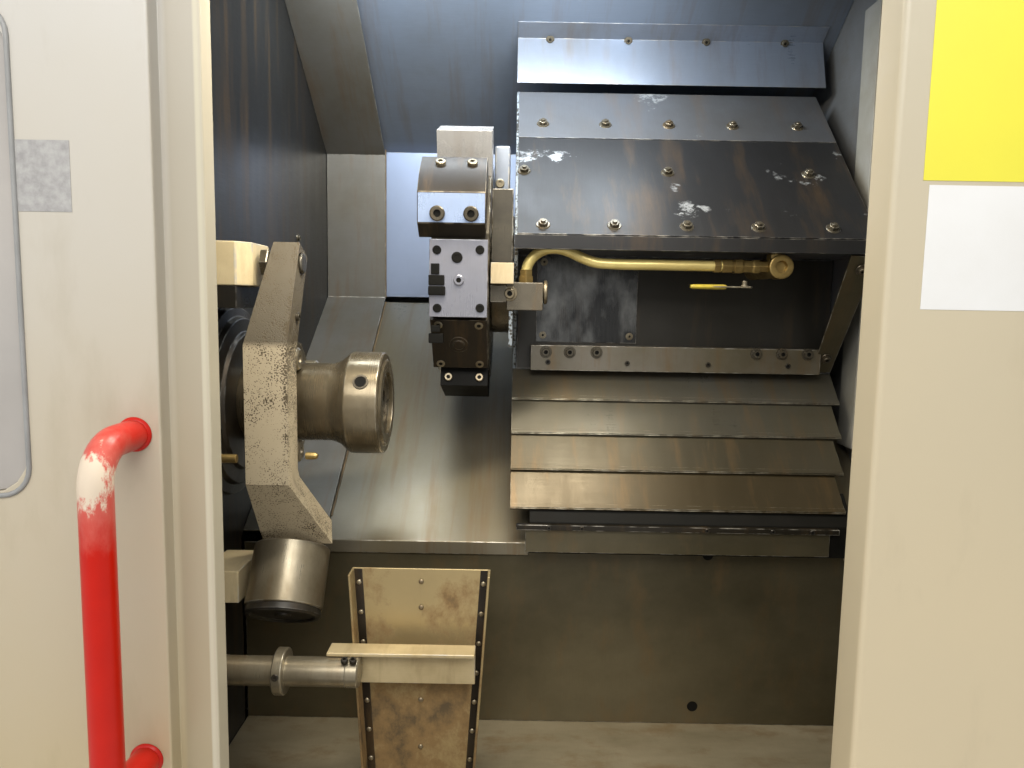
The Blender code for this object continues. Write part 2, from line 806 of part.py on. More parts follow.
def build_catcher():
    """Swinging tray that catches finished parts, on its turning shaft."""
    where = (left_wall_x, spindle_y + catcher_y, spindle_z + catcher_z)
    collar = catcher_collar_x - left_wall_x
    end = catcher_end_x - left_wall_x
    half = catcher_collar_width / 2
    profile = [(0, end), (catcher_radius, end), (catcher_radius, collar + half),
               (catcher_collar_radius, collar + half), (catcher_collar_radius, collar - half),
               (catcher_radius, collar - half), (catcher_radius, -catcher_tail), (0, -catcher_tail)]
    turned("catcher_shaft", profile, where, steel)
    back = catcher_y + catcher_radius + gap
    lip = catcher_y + tray_y - tray_side - gap
    over = catcher_z + catcher_radius + gap
    outline = [(back, catcher_z - strap_drop), (lip, catcher_z - strap_drop),
               (lip, over + strap_flange_height), (lip - strap_flange, over + strap_flange_height),
               (lip - strap_flange, over), (back, over)]
    tray_right = tray_left_x + tray_width
    section("catcher_strap", outline, tray_left_x - strap_overhang, tray_right - strap_right_inset,
            steel, pivot=(catcher_y, catcher_z))
    shape = bmesh.new()
    rows = []
    for z, inset in ((tray_top, 0), (-tray_bottom, tray_taper)):
        left, right = tray_left_x + inset, tray_right - inset
        corners = ((left, tray_y - tray_side), (left, tray_y), (right, tray_y), (right, tray_y - tray_side))
        rows.append([shape.verts.new((x - left_wall_x, y, z)) for x, y in corners])
    for upper, lower, next_lower, next_upper in zip(rows[0], rows[1], rows[1][1:], rows[0][1:]):
        shape.faces.new((upper, lower, next_lower, next_upper))
    mesh = bpy.data.meshes.new("catcher_tray")
    shape.to_mesh(mesh)
    shape.free()
    tray = bpy.data.objects.new("catcher_tray", mesh)
    wall = tray.modifiers.new("wall", "SOLIDIFY")
    wall.thickness = tray_sheet
    wall.offset = -1
    wall.use_even_offset = True
    place(tray, bright, where)


def build_ledge():
    """Small ledge on the left wall, below the spindle."""
    low = (left_wall_x + gap, spindle_y + ledge_plate_y, spindle_z + ledge_plate_low)
    size = Vector((ledge_plate_width, ledge_plate_depth, ledge_plate_height))
    box("wall_ledge", low, Vector(low) + size, bright)


def build_saddle():
    """Saddle on the bed's ways, the sloping plates it drags along, and the nested covers."""
    left, right = slide_left_x + saddle_inset, slide_right_x - saddle_inset
    low = way_height + gap - bed_lift
    ledge = cover_sheet - cover_count * cover_step - cover_sheet - running_gap
    front = on_slope(saddle_ledge_front, ledge)
    foot = front[1] - saddle_apron
    outline = [front, on_slope(saddle_ledge_back, ledge), on_slope(saddle_ledge_back, -saddle_depth),
               on_slope(-saddle_up, -saddle_depth), on_slope(-saddle_up, low), on_slope(saddle_low, low),
               (front[0] + saddle_apron_thickness, front[1] - saddle_apron_step),
               (front[0] + saddle_apron_thickness, foot), (front[0], foot)]
    section("saddle", outline, left, right, iron)
    plate_far = rear_wall - plate_end
    path = [(ledge_front - sheet, plate_line(ledge_front) - lip_fold),
            (ledge_front - sheet, plate_line(ledge_front)), (plate_far, plate_line(plate_far))]
    plate = folded(path, sheet)
    section("way_plate_left", plate, left - gap - left_cover_reach, left - gap, bright)
    section("way_plate_right", plate, right + gap, right + gap + right_cover_reach, bright)
    for number in range(cover_count):
        start = gap if number == 0 else number * cover_pitch - cover_lap
        end = (number + 1) * cover_pitch
        high = -number * cover_step
        low = high - cover_sheet
        outline = [on_slope(start, high), on_slope(end, high), on_slope(end, low - cover_lip),
                   on_slope(end - cover_sheet, low - cover_lip), on_slope(end - cover_sheet, low),
                   on_slope(start, low)]
        section(f"slope_cover_{number + 1}", outline, slide_left_x,
                slide_right_x - number * cover_narrowing, bright)


def build_cross_slide():
    """Casting on the saddle's slope under its bent casing, with cheeks and an access plate."""
    path = casing_path()
    left, right = slide_left_x, slide_right_x
    section("slide_casing", folded(path, sheet), left + cheek_thickness + gap,
            right - cheek_thickness - gap, dark_steel)
    cheek = [path[0], *path[2:]]
    section("left_cheek", cheek, left, left + cheek_thickness, cast_grey)
    section("right_cheek", cheek, right - cheek_thickness, right, dark_steel)
    start = -slide_block_start
    low = gap - saddle_depth
    block = [on_slope(start, low), on_slope(start - slide_block_length, low),
             on_slope(start - slide_block_length, low + slide_block_height),
             on_slope(start, low + slide_block_height)]
    inside_left = left + cheek_thickness + gap
    section("slide_casting", block, inside_left, right - cheek_thickness - gap, iron)
    plate = rectangle(recess_y - gap - access_sheet, access_low, recess_y - gap, access_low + access_height)
    section("access_plate", plate, left + access_left, left + access_left + access_width, black)


def on_station(angle, out, along):
    """A point of a tool station: out from its flat, and along it, from the spindle axis."""
    turn = math.radians(angle)
    radius = turret_flat + gap + out
    return (turret_offset + radius * math.cos(turn) - along * math.sin(turn),
            turret_offset + radius * math.sin(turn) + along * math.cos(turn))


def station_block(name, angle, left, width, height, span, chamfer, material):
    """A block bolted on one flat of the turret, with its outer corners cut off."""
    half = span / 2
    outline = [on_station(angle, out, along) for out, along in
               ((0, -half), (height - chamfer, -half), (height, chamfer - half),
                (height, half - chamfer), (height - chamfer, half), (0, half))]
    section(name, outline, left, left + width, material, pivot=(turret_offset, turret_offset))


def build_turret():
    """Ten-sided turret with tools on it, and the neck that carries it."""
    corner = turret_flat / math.cos(math.pi / turret_sides)
    step = math.tau / turret_sides
    outline = [(turret_offset + corner * math.cos(step * (number + station_share)),
                turret_offset + corner * math.sin(step * (number + station_share)))
               for number in range(turret_sides)]
    right = turret_left_x + turret_width
    section("turret_disc", outline, turret_left_x, right, dark_steel, pivot=(turret_offset, turret_offset))
    rod("turret_neck", turret_neck_radius, right + turret_neck_gap, slide_left_x - gap,
        (0, turret_y, turret_z), steel)
    station_block("tool_holder", station_angles[0], turret_left_x - holder_overhang, holder_width,
                  holder_height, holder_span, holder_chamfer, bright)
    station_block("top_block", station_angles[1], right - block_width, block_width, block_height,
                  block_span, gap, steel)
    station_block("face_plate", station_angles[2], turret_left_x, turret_width, face_plate_height,
                  face_plate_span, gap, bright)


def build_coolant():
    """Coolant block on the casing's cheek, its bent brass pipe, ball valve and lever."""
    high = coolant_block_low + coolant_block_height
    back = cheek_edge(high) - gap
    near = spindle_y + back - coolant_block_depth
    box("coolant_block", (coolant_block_x, near, spindle_z + coolant_block_low),
        (coolant_block_x + coolant_block_width, spindle_y + back, spindle_z + high), steel)
    rise = pipe_crest_z - pipe_run_z
    route = [Vector((pipe_start_x, spindle_y + pipe_y, spindle_z + high + gap))]
    for step in range(bend_steps + 1):
        angle = math.radians(90) * step / bend_steps
        route.append(Vector((pipe_start_x + pipe_bend_radius * (1 - math.cos(angle)), spindle_y + pipe_y,
                             spindle_z + pipe_crest_z - pipe_bend_radius * (1 - math.sin(angle)))))
    fall_start = route[-1].x
    for step in range(1, bend_steps + 1):
        share = step / bend_steps
        ease = (1 - math.cos(math.pi * share)) / 2
        route.append(Vector((fall_start + pipe_bend_x * share, spindle_y + pipe_y,
                             spindle_z + pipe_crest_z - rise * ease)))
    route.append(Vector((pipe_run_end_x, spindle_y + pipe_y, spindle_z + pipe_run_z)))
    tube("coolant_pipe", route, pipe_radius, brass)
    body_left = pipe_run_end_x + gap
    axis = (body_left, spindle_y + pipe_y, spindle_z + pipe_run_z)
    nut = valve_length * valve_nut_share
    waist = valve_radius - valve_waist
    profile = [(0, valve_length), (waist, valve_length), (waist, valve_length - nut),
               (valve_radius, valve_length - nut), (valve_radius, nut), (waist, nut), (waist, nut / 2),
               (valve_radius, nut / 2), (valve_radius, 0), (0, 0)]
    valve = turned("ball_valve", profile, axis, brass)
    elbow_x = body_left + valve_length + elbow_radius - elbow_overlap
    elbow = rod("elbow", elbow_radius, pipe_y - recess_y + gap, elbow_length / 2,
                (elbow_x, spindle_y + pipe_y, spindle_z + pipe_run_z), brass, turn=(math.radians(90), 0, 0))
    combine(valve, elbow, "UNION")
    stem_x = body_left + valve_length / 2
    stem_top = spindle_z + pipe_run_z - valve_radius - gap
    stem = rod("valve_stem", stem_radius, -stem_length, 0, (stem_x, spindle_y + pipe_y, stem_top), yellow,
               turn=(0, 0, 0))
    blade_top = stem_top - stem_length + lever_thickness
    blade = box("valve_lever_blade", (stem_x - lever_length, spindle_y + pipe_y - lever_width / 2,
                                      blade_top - lever_thickness - lever_below),
                (stem_x + lever_root, spindle_y + pipe_y + lever_width / 2, blade_top), yellow)
    stem.name = "valve_lever"
    combine(stem, blade, "UNION")


clear_scene()
lathe = collection("turning_lathe")
cutters = collection("cutters")
paint_white = finish("paint_white", (0.62, 0.61, 0.56), 0.4, 0)
paint_dark = finish("paint_dark", (0.08, 0.085, 0.09), 0.5, 0)
black = finish("black", (0.02, 0.02, 0.02), 0.45, 0)
red = finish("red", (0.6, 0.02, 0.015), 0.35, 0)
yellow = finish("yellow", (0.7, 0.5, 0.03), 0.5, 0)
steel = finish("steel", (0.42, 0.41, 0.39), 0.35, 1)
bright = finish("bright", (0.5, 0.49, 0.46), 0.35, 1)
dark_steel = finish("dark_steel", (0.2, 0.2, 0.2), 0.4, 1)
liner = finish("liner", (0.16, 0.17, 0.18), 0.45, 0.8)
iron = finish("iron", (0.18, 0.18, 0.18), 0.6, 0.6)
cast_grey = finish("cast_grey", (0.33, 0.33, 0.31), 0.6, 0.3)
brass = finish("brass", (0.6, 0.47, 0.2), 0.35, 1)
rubber = finish("rubber", (0.03, 0.03, 0.03), 0.8, 0)
glass = finish("glass", (0.5, 0.53, 0.53), 0.1, 0)
build_base()
build_enclosure()
build_control()
build_work_area()
build_door()
build_headstock()
build_setting_arm()
build_catcher()
build_ledge()
build_saddle()
build_cross_slide()
build_turret()
build_coolant()
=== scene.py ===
# %% [markdown]
# # A turning lathe with its door slid open
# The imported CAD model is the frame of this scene: every solid is already in place, in metres.
# This script gives each solid its finish, softens its edges, and adds the screws, rims and seams.
# We look in through the open door, as someone who is about to load a bar.

# %% Load the frame
import json
import math

import bmesh
import bpy
from mathutils import Matrix, Vector

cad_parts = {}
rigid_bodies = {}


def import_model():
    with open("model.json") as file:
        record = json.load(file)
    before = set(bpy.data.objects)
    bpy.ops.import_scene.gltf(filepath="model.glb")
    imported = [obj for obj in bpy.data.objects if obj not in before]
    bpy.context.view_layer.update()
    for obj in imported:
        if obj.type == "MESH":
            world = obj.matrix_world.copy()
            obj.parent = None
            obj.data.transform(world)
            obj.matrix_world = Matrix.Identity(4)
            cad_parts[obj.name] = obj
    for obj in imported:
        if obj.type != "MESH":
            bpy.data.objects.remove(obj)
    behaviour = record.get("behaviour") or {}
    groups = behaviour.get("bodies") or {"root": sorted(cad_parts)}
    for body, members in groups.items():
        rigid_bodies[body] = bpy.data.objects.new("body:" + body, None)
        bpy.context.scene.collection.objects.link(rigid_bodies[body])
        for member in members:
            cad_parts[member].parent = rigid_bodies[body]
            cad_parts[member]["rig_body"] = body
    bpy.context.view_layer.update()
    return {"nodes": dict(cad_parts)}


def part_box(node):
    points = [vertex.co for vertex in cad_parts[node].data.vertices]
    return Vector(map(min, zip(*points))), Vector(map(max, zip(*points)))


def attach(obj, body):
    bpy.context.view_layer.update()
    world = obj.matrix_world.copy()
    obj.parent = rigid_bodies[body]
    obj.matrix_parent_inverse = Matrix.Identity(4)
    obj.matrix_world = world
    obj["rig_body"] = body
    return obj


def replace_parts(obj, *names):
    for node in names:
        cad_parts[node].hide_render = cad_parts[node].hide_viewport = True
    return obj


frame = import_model()
nodes = frame["nodes"]

# %% [markdown]
# Most pieces sit round the spindle, so its axis is the natural zero for depth and height.
# The solids give it: the middle of the spindle's box, seen from its end.

# %% The spindle axis and other shared places
low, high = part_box("spindle")
axis_y = (low.y + high.y) / 2
axis_z = (low.z + high.z) / 2
front_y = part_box("sliding_door")[0].y
print("axis", round(axis_y, 4), round(axis_z, 4), "front", round(front_y, 4))


def from_axis(x, y, z):
    """A point whose depth and height are measured from the spindle axis."""
    return Vector((x, axis_y + y, axis_z + z))


# %% [markdown]
# The camera comes first. It stands 0.7 m in front of the door and 1.21 m above the floor, looks
# slightly down, and is turned by one degree, as a hand-held wide phone lens often is.

# %% Camera
camera_x, camera_gap, camera_height = 0.05, 0.7, 1.211
camera_data = bpy.data.cameras.new("camera")
camera_data.sensor_width = 36
camera_data.lens = 26.1
camera_data.clip_start = 0.02
camera = bpy.data.objects.new("camera", camera_data)
bpy.context.scene.collection.objects.link(camera)
pitch, roll = math.radians(-6.2), math.radians(1.0)
aim = Matrix.Rotation(math.radians(90) + pitch, 4, "X") @ Matrix.Rotation(roll, 4, "Z")
camera.matrix_world = Matrix.Translation((camera_x, front_y - camera_gap, camera_height)) @ aim
bpy.context.scene.camera = camera
bpy.context.scene.view_settings.view_transform = "Standard"
print("camera at", tuple(round(value, 3) for value in camera.matrix_world.translation))

# %% [markdown]
# A shader is a sum of masks and colours, so it reads best as arithmetic. One small class wraps an
# output socket: plus, minus and times on it add the Math nodes, and make() adds any other node.

# %% A wire that does arithmetic


class Wire:
    """An output socket of a shader node, on which arithmetic adds Math nodes."""

    def __init__(self, tree, socket):
        self.tree, self.socket = tree, socket

    def make(self, kind, settings=None, inputs=None, output=0):
        """Add a node: its settings first, then the values or wires of its sockets."""
        node = self.tree.nodes.new("ShaderNode" + kind)
        for name, value in (settings or {}).items():
            setattr(node, name, value)
        for name, value in (inputs or {}).items():
            if isinstance(value, Wire):
                self.tree.links.new(value.socket, node.inputs[name])
            else:
                node.inputs[name].default_value = value
        return Wire(self.tree, node.outputs[output])

    def math(self, operation, first, second, clamp=False):
        return self.make("Math", {"operation": operation, "use_clamp": clamp}, {0: first, 1: second})

    def __add__(self, other):
        return self.math("ADD", self, other)

    def __sub__(self, other):
        return self.math("SUBTRACT", self, other)

    def __rsub__(self, other):
        return self.math("SUBTRACT", other, self)

    def __mul__(self, other):
        return self.math("MULTIPLY", self, other)

    __radd__ = __add__
    __rmul__ = __mul__

    def ramp(self, low, high):
        """0 at low, 1 at high and an even slope between."""
        return self.make("MapRange", {"clamp": True}, {"Value": self, "From Min": low, "From Max": high})

    def above(self, edge, soft):
        """0 below the edge, 1 above it, with a soft step between."""
        return self.ramp(edge - soft, edge + soft)

    def clamped(self):
        return self.math("ADD", self, 0.0, True)


# %% [markdown]
# The real sheets carry three things that a flat colour lacks: a fine grain from rolling or
# spraying, broad clouds of dried coolant, and thin runs where the coolant flowed. All three are
# noise on Object coordinates, squeezed or stretched along one axis, so they stay on the piece.

# %% Patterns on a surface


finishes = {}


def new_finish(name):
    """An empty Principled material, noted by its name, with the wire of its Object coordinates."""
    material = finishes[name] = bpy.data.materials.new(name)
    material.use_nodes = True
    tree = material.node_tree
    where = Wire(tree, tree.nodes.new("ShaderNodeTexCoord").outputs["Object"])
    return tree.nodes["Principled BSDF"], where


def noise(where, scale, squeeze=(1, 1, 1), detail=4, rough=0.6, seed=(0, 0, 0)):
    """Cloudy values about 0.5, as many per metre as scale says along each axis."""
    size = tuple(scale * share for share in squeeze)
    moved = where.make("Mapping", {}, {"Vector": where, "Scale": size, "Location": seed})
    return where.make("TexNoise", {}, {"Vector": moved, "Scale": 1, "Detail": detail, "Roughness": rough})


def along(where, axis):
    """One coordinate of the piece, in metres: 0 is X, 1 is Y and 2 is Z."""
    return where.make("SeparateXYZ", {}, {"Vector": where}, axis)


def blend(mask, low_colour, high_colour):
    """One colour where the mask is 0, and the other where it is 1."""
    ends = [(*end, 1) if isinstance(end, tuple) else end for end in (low_colour, high_colour)]
    return mask.make("Mix", {"data_type": "RGBA", "clamp_factor": True},
                     {0: mask, 6: ends[0], 7: ends[1]}, 2)


def worn_edge(where):
    """1 on the bevels that softened() marked, broken up by noise."""
    mark = where.make("Attribute", {"attribute_name": "edge"}, {}, 2)
    return mark * noise(where, 45, detail=4).above(0.55, 0.1)


def relief(where, height, strength, distance=0.001):
    """A bump normal, for relief as deep as the distance in metres."""
    return where.make("Bump", {}, {"Height": height, "Strength": strength, "Distance": distance})


def plug(shader, colour, rough, normal=None, metal=None, numbers=None):
    """Feed a shader: links for what varies, plain numbers for what doesn't."""
    tree = shader.id_data
    fed = {"Base Color": colour, "Roughness": rough, "Normal": normal, "Metallic": metal,
           **(numbers or {})}
    for name, value in fed.items():
        if isinstance(value, Wire):
            tree.links.new(value.socket, shader.inputs[name])
        elif value is not None:
            shader.inputs[name].default_value = value


# %% [markdown]
# Sprayed enamel has a fine orange peel. Its colour changes with height, a little yellower low down on the
# light paints, and dirt grows with soft clouds and on the edges. Where the top is the darker tone, it is
# painted shade.

# %% Enamel paints


def enamel(name, top_tone, foot_tone, rough, wear=None, low_z=0.5, high_z=1.7, strip=None):
    """Sprayed paint that goes from one tone low down to another high up; a darker top is painted shade.

    With a strip, what lies between its two X values is dull, and what is right of it is cream."""
    shader, where = new_finish(name)
    height = along(where, 2).ramp(low_z, high_z)
    colour = blend((height + (noise(where, 3) - 0.5) * 0.35).clamped(), foot_tone, top_tone)
    grime = noise(where, 14, (1, 1, 0.35), 6).above(0.68, 0.12) * 0.35
    colour = blend(grime, colour, tuple(part * 0.62 for part in foot_tone))
    if wear:
        colour = blend(worn_edge(where), colour, wear)
    if strip:
        dull, cream, bead = (0.3, 0.255, 0.17), (0.5, 0.45, 0.335), (0.52, 0.48, 0.36)
        across = along(where, 0)
        colour = blend(across.above(strip[0], 0.002) * 0.5, colour, dull)
        colour = blend(across.above(strip[1], 0.0012) * 0.85, colour, cream)
        colour = blend(across.above(strip[1], 0.001) - across.above(strip[1] + 0.004, 0.001), colour, bead)
    shine = rough + (noise(where, 22, detail=5) - 0.5) * 0.16
    plug(shader, colour, shine, relief(where, noise(where, 700, detail=2), 0.12, 0.0004))


enamel("door_paint", (0.5, 0.495, 0.475), (0.46, 0.37, 0.215), 0.36, low_z=0.7, high_z=1.66,
       strip=(-0.279, -0.252))
# On this panel the top tone is darker than the low one: painted shade against the stronger light from above.
enamel("panel_paint", (0.43, 0.39, 0.295), (0.565, 0.47, 0.305), 0.36, low_z=0.75, high_z=1.6)
enamel("shell_paint", (0.62, 0.61, 0.56), (0.52, 0.49, 0.41), 0.42)
enamel("dark_paint", (0.075, 0.08, 0.085), (0.05, 0.052, 0.055), 0.5, (0.2, 0.19, 0.17))
print("paints:", list(finishes))

# %% [markdown]
# The handle is glossy red, but hands have worn its upper bend through to a pale primer. The worn
# patch is a ball of distance round that bend, broken up by noise so that its rim is ragged.

# %% Red paint with a worn bend


def handle_paint(worn_place):
    """Red enamel, worn through to bare primer round one place."""
    shader, where = new_finish("handle_paint")
    apart = where.make("VectorMath", {"operation": "DISTANCE"}, {0: where, 1: worn_place}, 1)
    ragged = apart + (noise(where, 60, (1, 1, 0.45), 7, 0.7) - 0.5) * 0.075
    bare = 1 - ragged.above(0.025, 0.003)
    thin = 1 - ragged.above(0.046, 0.02)
    primer, thinned = (0.66, 0.55, 0.42), (0.62, 0.22, 0.17)
    red = blend(noise(where, 30), (0.43, 0.007, 0.0016), (0.54, 0.011, 0.0025))
    colour = blend(bare, blend(thin * 0.5, red, thinned), primer)
    bump = relief(where, 1 - bare, 0.25, 0.0006)
    plug(shader, colour, 0.3 + bare * 0.3, bump, 0.0, {"Specular IOR Level": 0.28})


# %% [markdown]
# Bare steel is the hard part: it mirrors the bright shop at a low angle, and dull coolant film
# breaks the mirror up. So roughness varies more than colour, and the grain runs one way.

# %% Bare and oily metals


def sheet_metal(name, cool, warm, rough, grain, film, metal, warm_share, stain_share, seed=0.0,
                wear=(0.45, 0.42, 0.36), runs=(9, 1.2, 1.2), grain_scale=900, scuff=0.0, painted_reflection_below=None):
    """Sheet with a rolled grain, clouds of coolant film and thin brown runs.

    Below a given height the colour turns to bright bluish tones, a painted reflection, and scuffs are pale
    scratches in a few patches."""
    shader, where = new_finish(name)
    stain, scratched = (0.16, 0.09, 0.03), (0.34, 0.35, 0.35)
    shift = (seed, seed * 1.7, seed * 0.6)
    clouds = noise(where, 1, film, 7, 0.62, shift)
    fine = noise(where, grain_scale, grain, 3, 0.6)
    streaks = noise(where, 4, runs, 6, 0.65, shift)
    colour = blend(clouds.above(1 - warm_share, 0.16), cool, warm)
    colour = blend(streaks.above(0.62, 0.1) * stain_share, colour, stain)
    colour = blend((fine - 0.35).clamped() * 0.35, colour, tuple(part * 0.55 for part in cool))
    # Bright bluish tones below a height: painted reflection.
    if painted_reflection_below:
        height, *tones = painted_reflection_below
        bright = blend(clouds.above(0.42, 0.3), *tones)
        colour = blend(1 - along(where, 2).above(height, 0.012), colour, bright)
    if scuff:
        scratch = noise(where, 46, (0.8, 1, 1), 8, 0.8, shift).above(0.5, 0.02)
        patches = noise(where, 9, (1.0, 1.4, 1.4), 5, 0.6, shift).above(0.675 - scuff * 0.02, 0.02)
        colour = blend(scratch * patches, colour, scratched)
    colour = blend(worn_edge(where) * 0.8, colour, wear)
    shine = rough + (clouds - 0.5) * 0.45 + (fine - 0.5) * 0.16 + (streaks - 0.5) * 0.2
    bump = relief(where, fine * 0.5 + clouds * 2.0, 0.22, 0.0006)
    plug(shader, colour, shine, bump, metal)


# Grain that runs up the sheet is fine along X, and grain across it is coarse along X.
grain_up, grain_across = (1, 0.03, 0.03), (0.03, 1, 1)
# In a row: the cool and warm tones, roughness, grain, film, metal, and the shares of warm and stain.
sheet_metal("liner_sheet", (0.03, 0.031, 0.032), (0.022, 0.019, 0.012), 0.4, (0.03, 0.03, 1), (2, 2, 1.2),
            0.45, 0.45, 0.5, 3.1, runs=(2, 7, 0.5))
# The roof sheet's bright bluish tones low down are a painted reflection.
sheet_metal("roof_sheet", (0.2, 0.235, 0.29), (0.14, 0.145, 0.15), 0.38, grain_across, (2, 2, 2), 0.5, 0.35,
            0.35, 5.3, runs=(8, 0.6, 0.6), painted_reflection_below=(axis_z + 0.488, (0.3, 0.38, 0.56), (0.23, 0.27, 0.36)))
sheet_metal("corner_sheet", (0.202, 0.194, 0.176), (0.132, 0.114, 0.079), 0.38, grain_across, (3, 3, 3),
            0.5, 0.5, 0.5, 2.6, runs=(7, 0.8, 0.8))
sheet_metal("pale_sheet", (0.262, 0.303, 0.377), (0.164, 0.168, 0.176), 0.36, (0.03, 0.03, 1), (3, 3, 1.5),
            0.6, 0.4, 0.35, 1.3)
sheet_metal("way_sheet", (0.229, 0.215, 0.178), (0.178, 0.148, 0.089), 0.34, (0.05, 1, 1), (3, 1.5, 1.5),
            0.55, 0.55, 0.6, 7.7, runs=(9, 0.5, 0.5))
sheet_metal("apron_sheet", (0.12, 0.1, 0.058), (0.042, 0.034, 0.014), 0.42, grain_up, (2.5, 2.5, 3), 0.45,
            0.5, 0.4, 2.2, runs=(5, 1, 2))
sheet_metal("pan_sheet", (0.33, 0.28, 0.185), (0.17, 0.14, 0.08), 0.42, (1, 0.05, 0.05), (2.5, 7, 2), 0.4,
            0.45, 0.7, 6.1, runs=(3, 5, 2))
# The four covers share one stainless sheet, and their tones get darker from the first to the fourth: painted
# shade, set against how the lamps light each cover.
cover_shade_tones = (((0.113, 0.108, 0.089), (0.087, 0.072, 0.041)), ((0.096, 0.09, 0.069), (0.074, 0.06, 0.032)),
               ((0.071, 0.063, 0.042), (0.055, 0.042, 0.02)), ((0.062, 0.048, 0.025), (0.048, 0.033, 0.012)))
for number, tones in enumerate(cover_shade_tones, 1):
    sheet_metal(f"cover_sheet_{number}", *tones, 0.36, (0.015, 1, 1), (3, 3, 3), 0.55, 0.5, 0.4, 1.3 + number,
                wear=(0.5, 0.46, 0.36))
sheet_metal("casing_sheet", (0.125, 0.13, 0.14), (0.08, 0.076, 0.068), 0.42, grain_up, (3, 3, 3), 0.5, 0.45,
            0.3, 8.8, runs=(6, 1, 1), scuff=1.0)
sheet_metal("neck_sheet", (0.088, 0.077, 0.055), (0.03, 0.026, 0.019), 0.35, grain_up, (8, 8, 14), 0.45,
            0.5, 0.3, 3.3)
sheet_metal("casing_front", (0.031, 0.031, 0.032), (0.019, 0.018, 0.017), 0.42, grain_up, (3, 3, 3), 0.5,
            0.5, 0.3, 8.8, runs=(6, 1, 1), scuff=1.25)
sheet_metal("dark_sheet", (0.019, 0.015, 0.009), (0.011, 0.008, 0.003), 0.42, grain_up, (4, 4, 4), 0.4, 0.5,
            0.25, 9.4)
# Dark sheet for the back of the recess under the casing: painted shade.
sheet_metal("recess_shade_sheet", (0.036, 0.033, 0.027), (0.02, 0.017, 0.011), 0.4, grain_up, (4, 4, 4), 0.4, 0.5,
            0.2, 8.1)
sheet_metal("smear_sheet", (0.24, 0.24, 0.225), (0.007, 0.007, 0.006), 0.26, grain_up, (14, 8, 8), 0.3, 0.6,
            0.1, 0.7)
sheet_metal("foot_sheet", (0.2, 0.18, 0.145), (0.12, 0.1, 0.06), 0.4, grain_up, (6, 6, 6), 0.5, 0.5, 0.6,
            5.9)
sheet_metal("blue_grey", (0.248, 0.248, 0.276), (0.192, 0.188, 0.2), 0.33, (1, 1, 0.02), (9, 9, 9), 0.6,
            0.35, 0.15, 0.7, wear=(0.6, 0.6, 0.62), grain_scale=1500)
sheet_metal("tool_steel", (0.403, 0.396, 0.389), (0.288, 0.281, 0.266), 0.34, (1, 0.02, 1), (9, 9, 9), 0.4,
            0.35, 0.3, 0.4, wear=(0.6, 0.6, 0.58), grain_scale=1500)
# A bright bluish steel tone: painted reflection of the roof on the holder's flank.
sheet_metal("painted_roof_reflection", (0.4, 0.496, 0.688), (0.288, 0.368, 0.528), 0.28, (1, 0.02, 1), (9, 9, 9), 0.6,
            0.35, 0.1, 0.9, wear=(0.6, 0.65, 0.75), grain_scale=1500)
sheet_metal("oiled_steel", (0.15, 0.13, 0.095), (0.065, 0.054, 0.035), 0.3, (1, 0.02, 1), (12, 12, 12), 0.6,
            0.5, 0.5, 6.6, wear=(0.4, 0.37, 0.3))
sheet_metal("brown_steel", (0.03, 0.023, 0.015), (0.018, 0.013, 0.008), 0.42, (1, 0.02, 1), (16, 16, 16),
            0.5, 0.5, 0.4, 4.4, wear=(0.2, 0.17, 0.12))
sheet_metal("strap_steel", (0.6, 0.48, 0.27), (0.36, 0.27, 0.13), 0.36, grain_across, (8, 8, 8), 0.35, 0.4,
            0.4, 3.7)
sheet_metal("side_sheet", (0.26, 0.27, 0.28), (0.17, 0.165, 0.15), 0.4, (0.03, 0.03, 1), (3, 3, 2), 0.4,
            0.5, 0.4, 7.7)
# A light strip whose colour is raised to stand in for light the inside of the right wall doesn't get: partly
# its own grey, partly painted light.
sheet_metal("wall_strip", (0.4, 0.39, 0.35), (0.3, 0.28, 0.22), 0.4, (1, 1, 0.03), (6, 6, 6), 0.1, 0.5, 0.3,
            1.9)
sheet_metal("worn_steel", (0.31, 0.27, 0.19), (0.16, 0.125, 0.072), 0.34, grain_up, (14, 10, 10), 0.65, 0.5,
            0.5, 1.9, wear=(0.5, 0.46, 0.38))
sheet_metal("spindle_steel", (0.31, 0.255, 0.165), (0.085, 0.064, 0.034), 0.27, (1, 0.02, 0.02), (12, 6, 6),
            0.65, 0.5, 0.3, 2.9, wear=(0.42, 0.38, 0.3))
sheet_metal("black_oxide", (0.03, 0.027, 0.022), (0.045, 0.036, 0.022), 0.36, (1, 1, 1), (20, 20, 20), 0.5,
            0.4, 0.2, wear=(0.2, 0.19, 0.17))
sheet_metal("cast_iron", (0.11, 0.11, 0.108), (0.075, 0.07, 0.06), 0.6, (1, 1, 1), (6, 6, 6), 0.4, 0.5, 0.3,
            3.7, grain_scale=400)
sheet_metal("cream_sheet", (0.58, 0.48, 0.3), (0.42, 0.33, 0.19), 0.4, (1, 1, 1), (9, 9, 9), 0.2, 0.45, 0.5,
            4.1)
sheet_metal("pale_cream", (0.76, 0.626, 0.374), (0.589, 0.46, 0.255), 0.4, (1, 1, 1), (9, 9, 9), 0.1, 0.45,
            0.4, 5.1)
print("metals so far:", len(finishes))

# %% [markdown]
# The hanging arm is a casting whose grey-cream paint has chipped off in hundreds of specks, to
# dark iron below. Two scales of Voronoi cells and a threshold give such chips their hard rims.

# %% Chipped casting paint


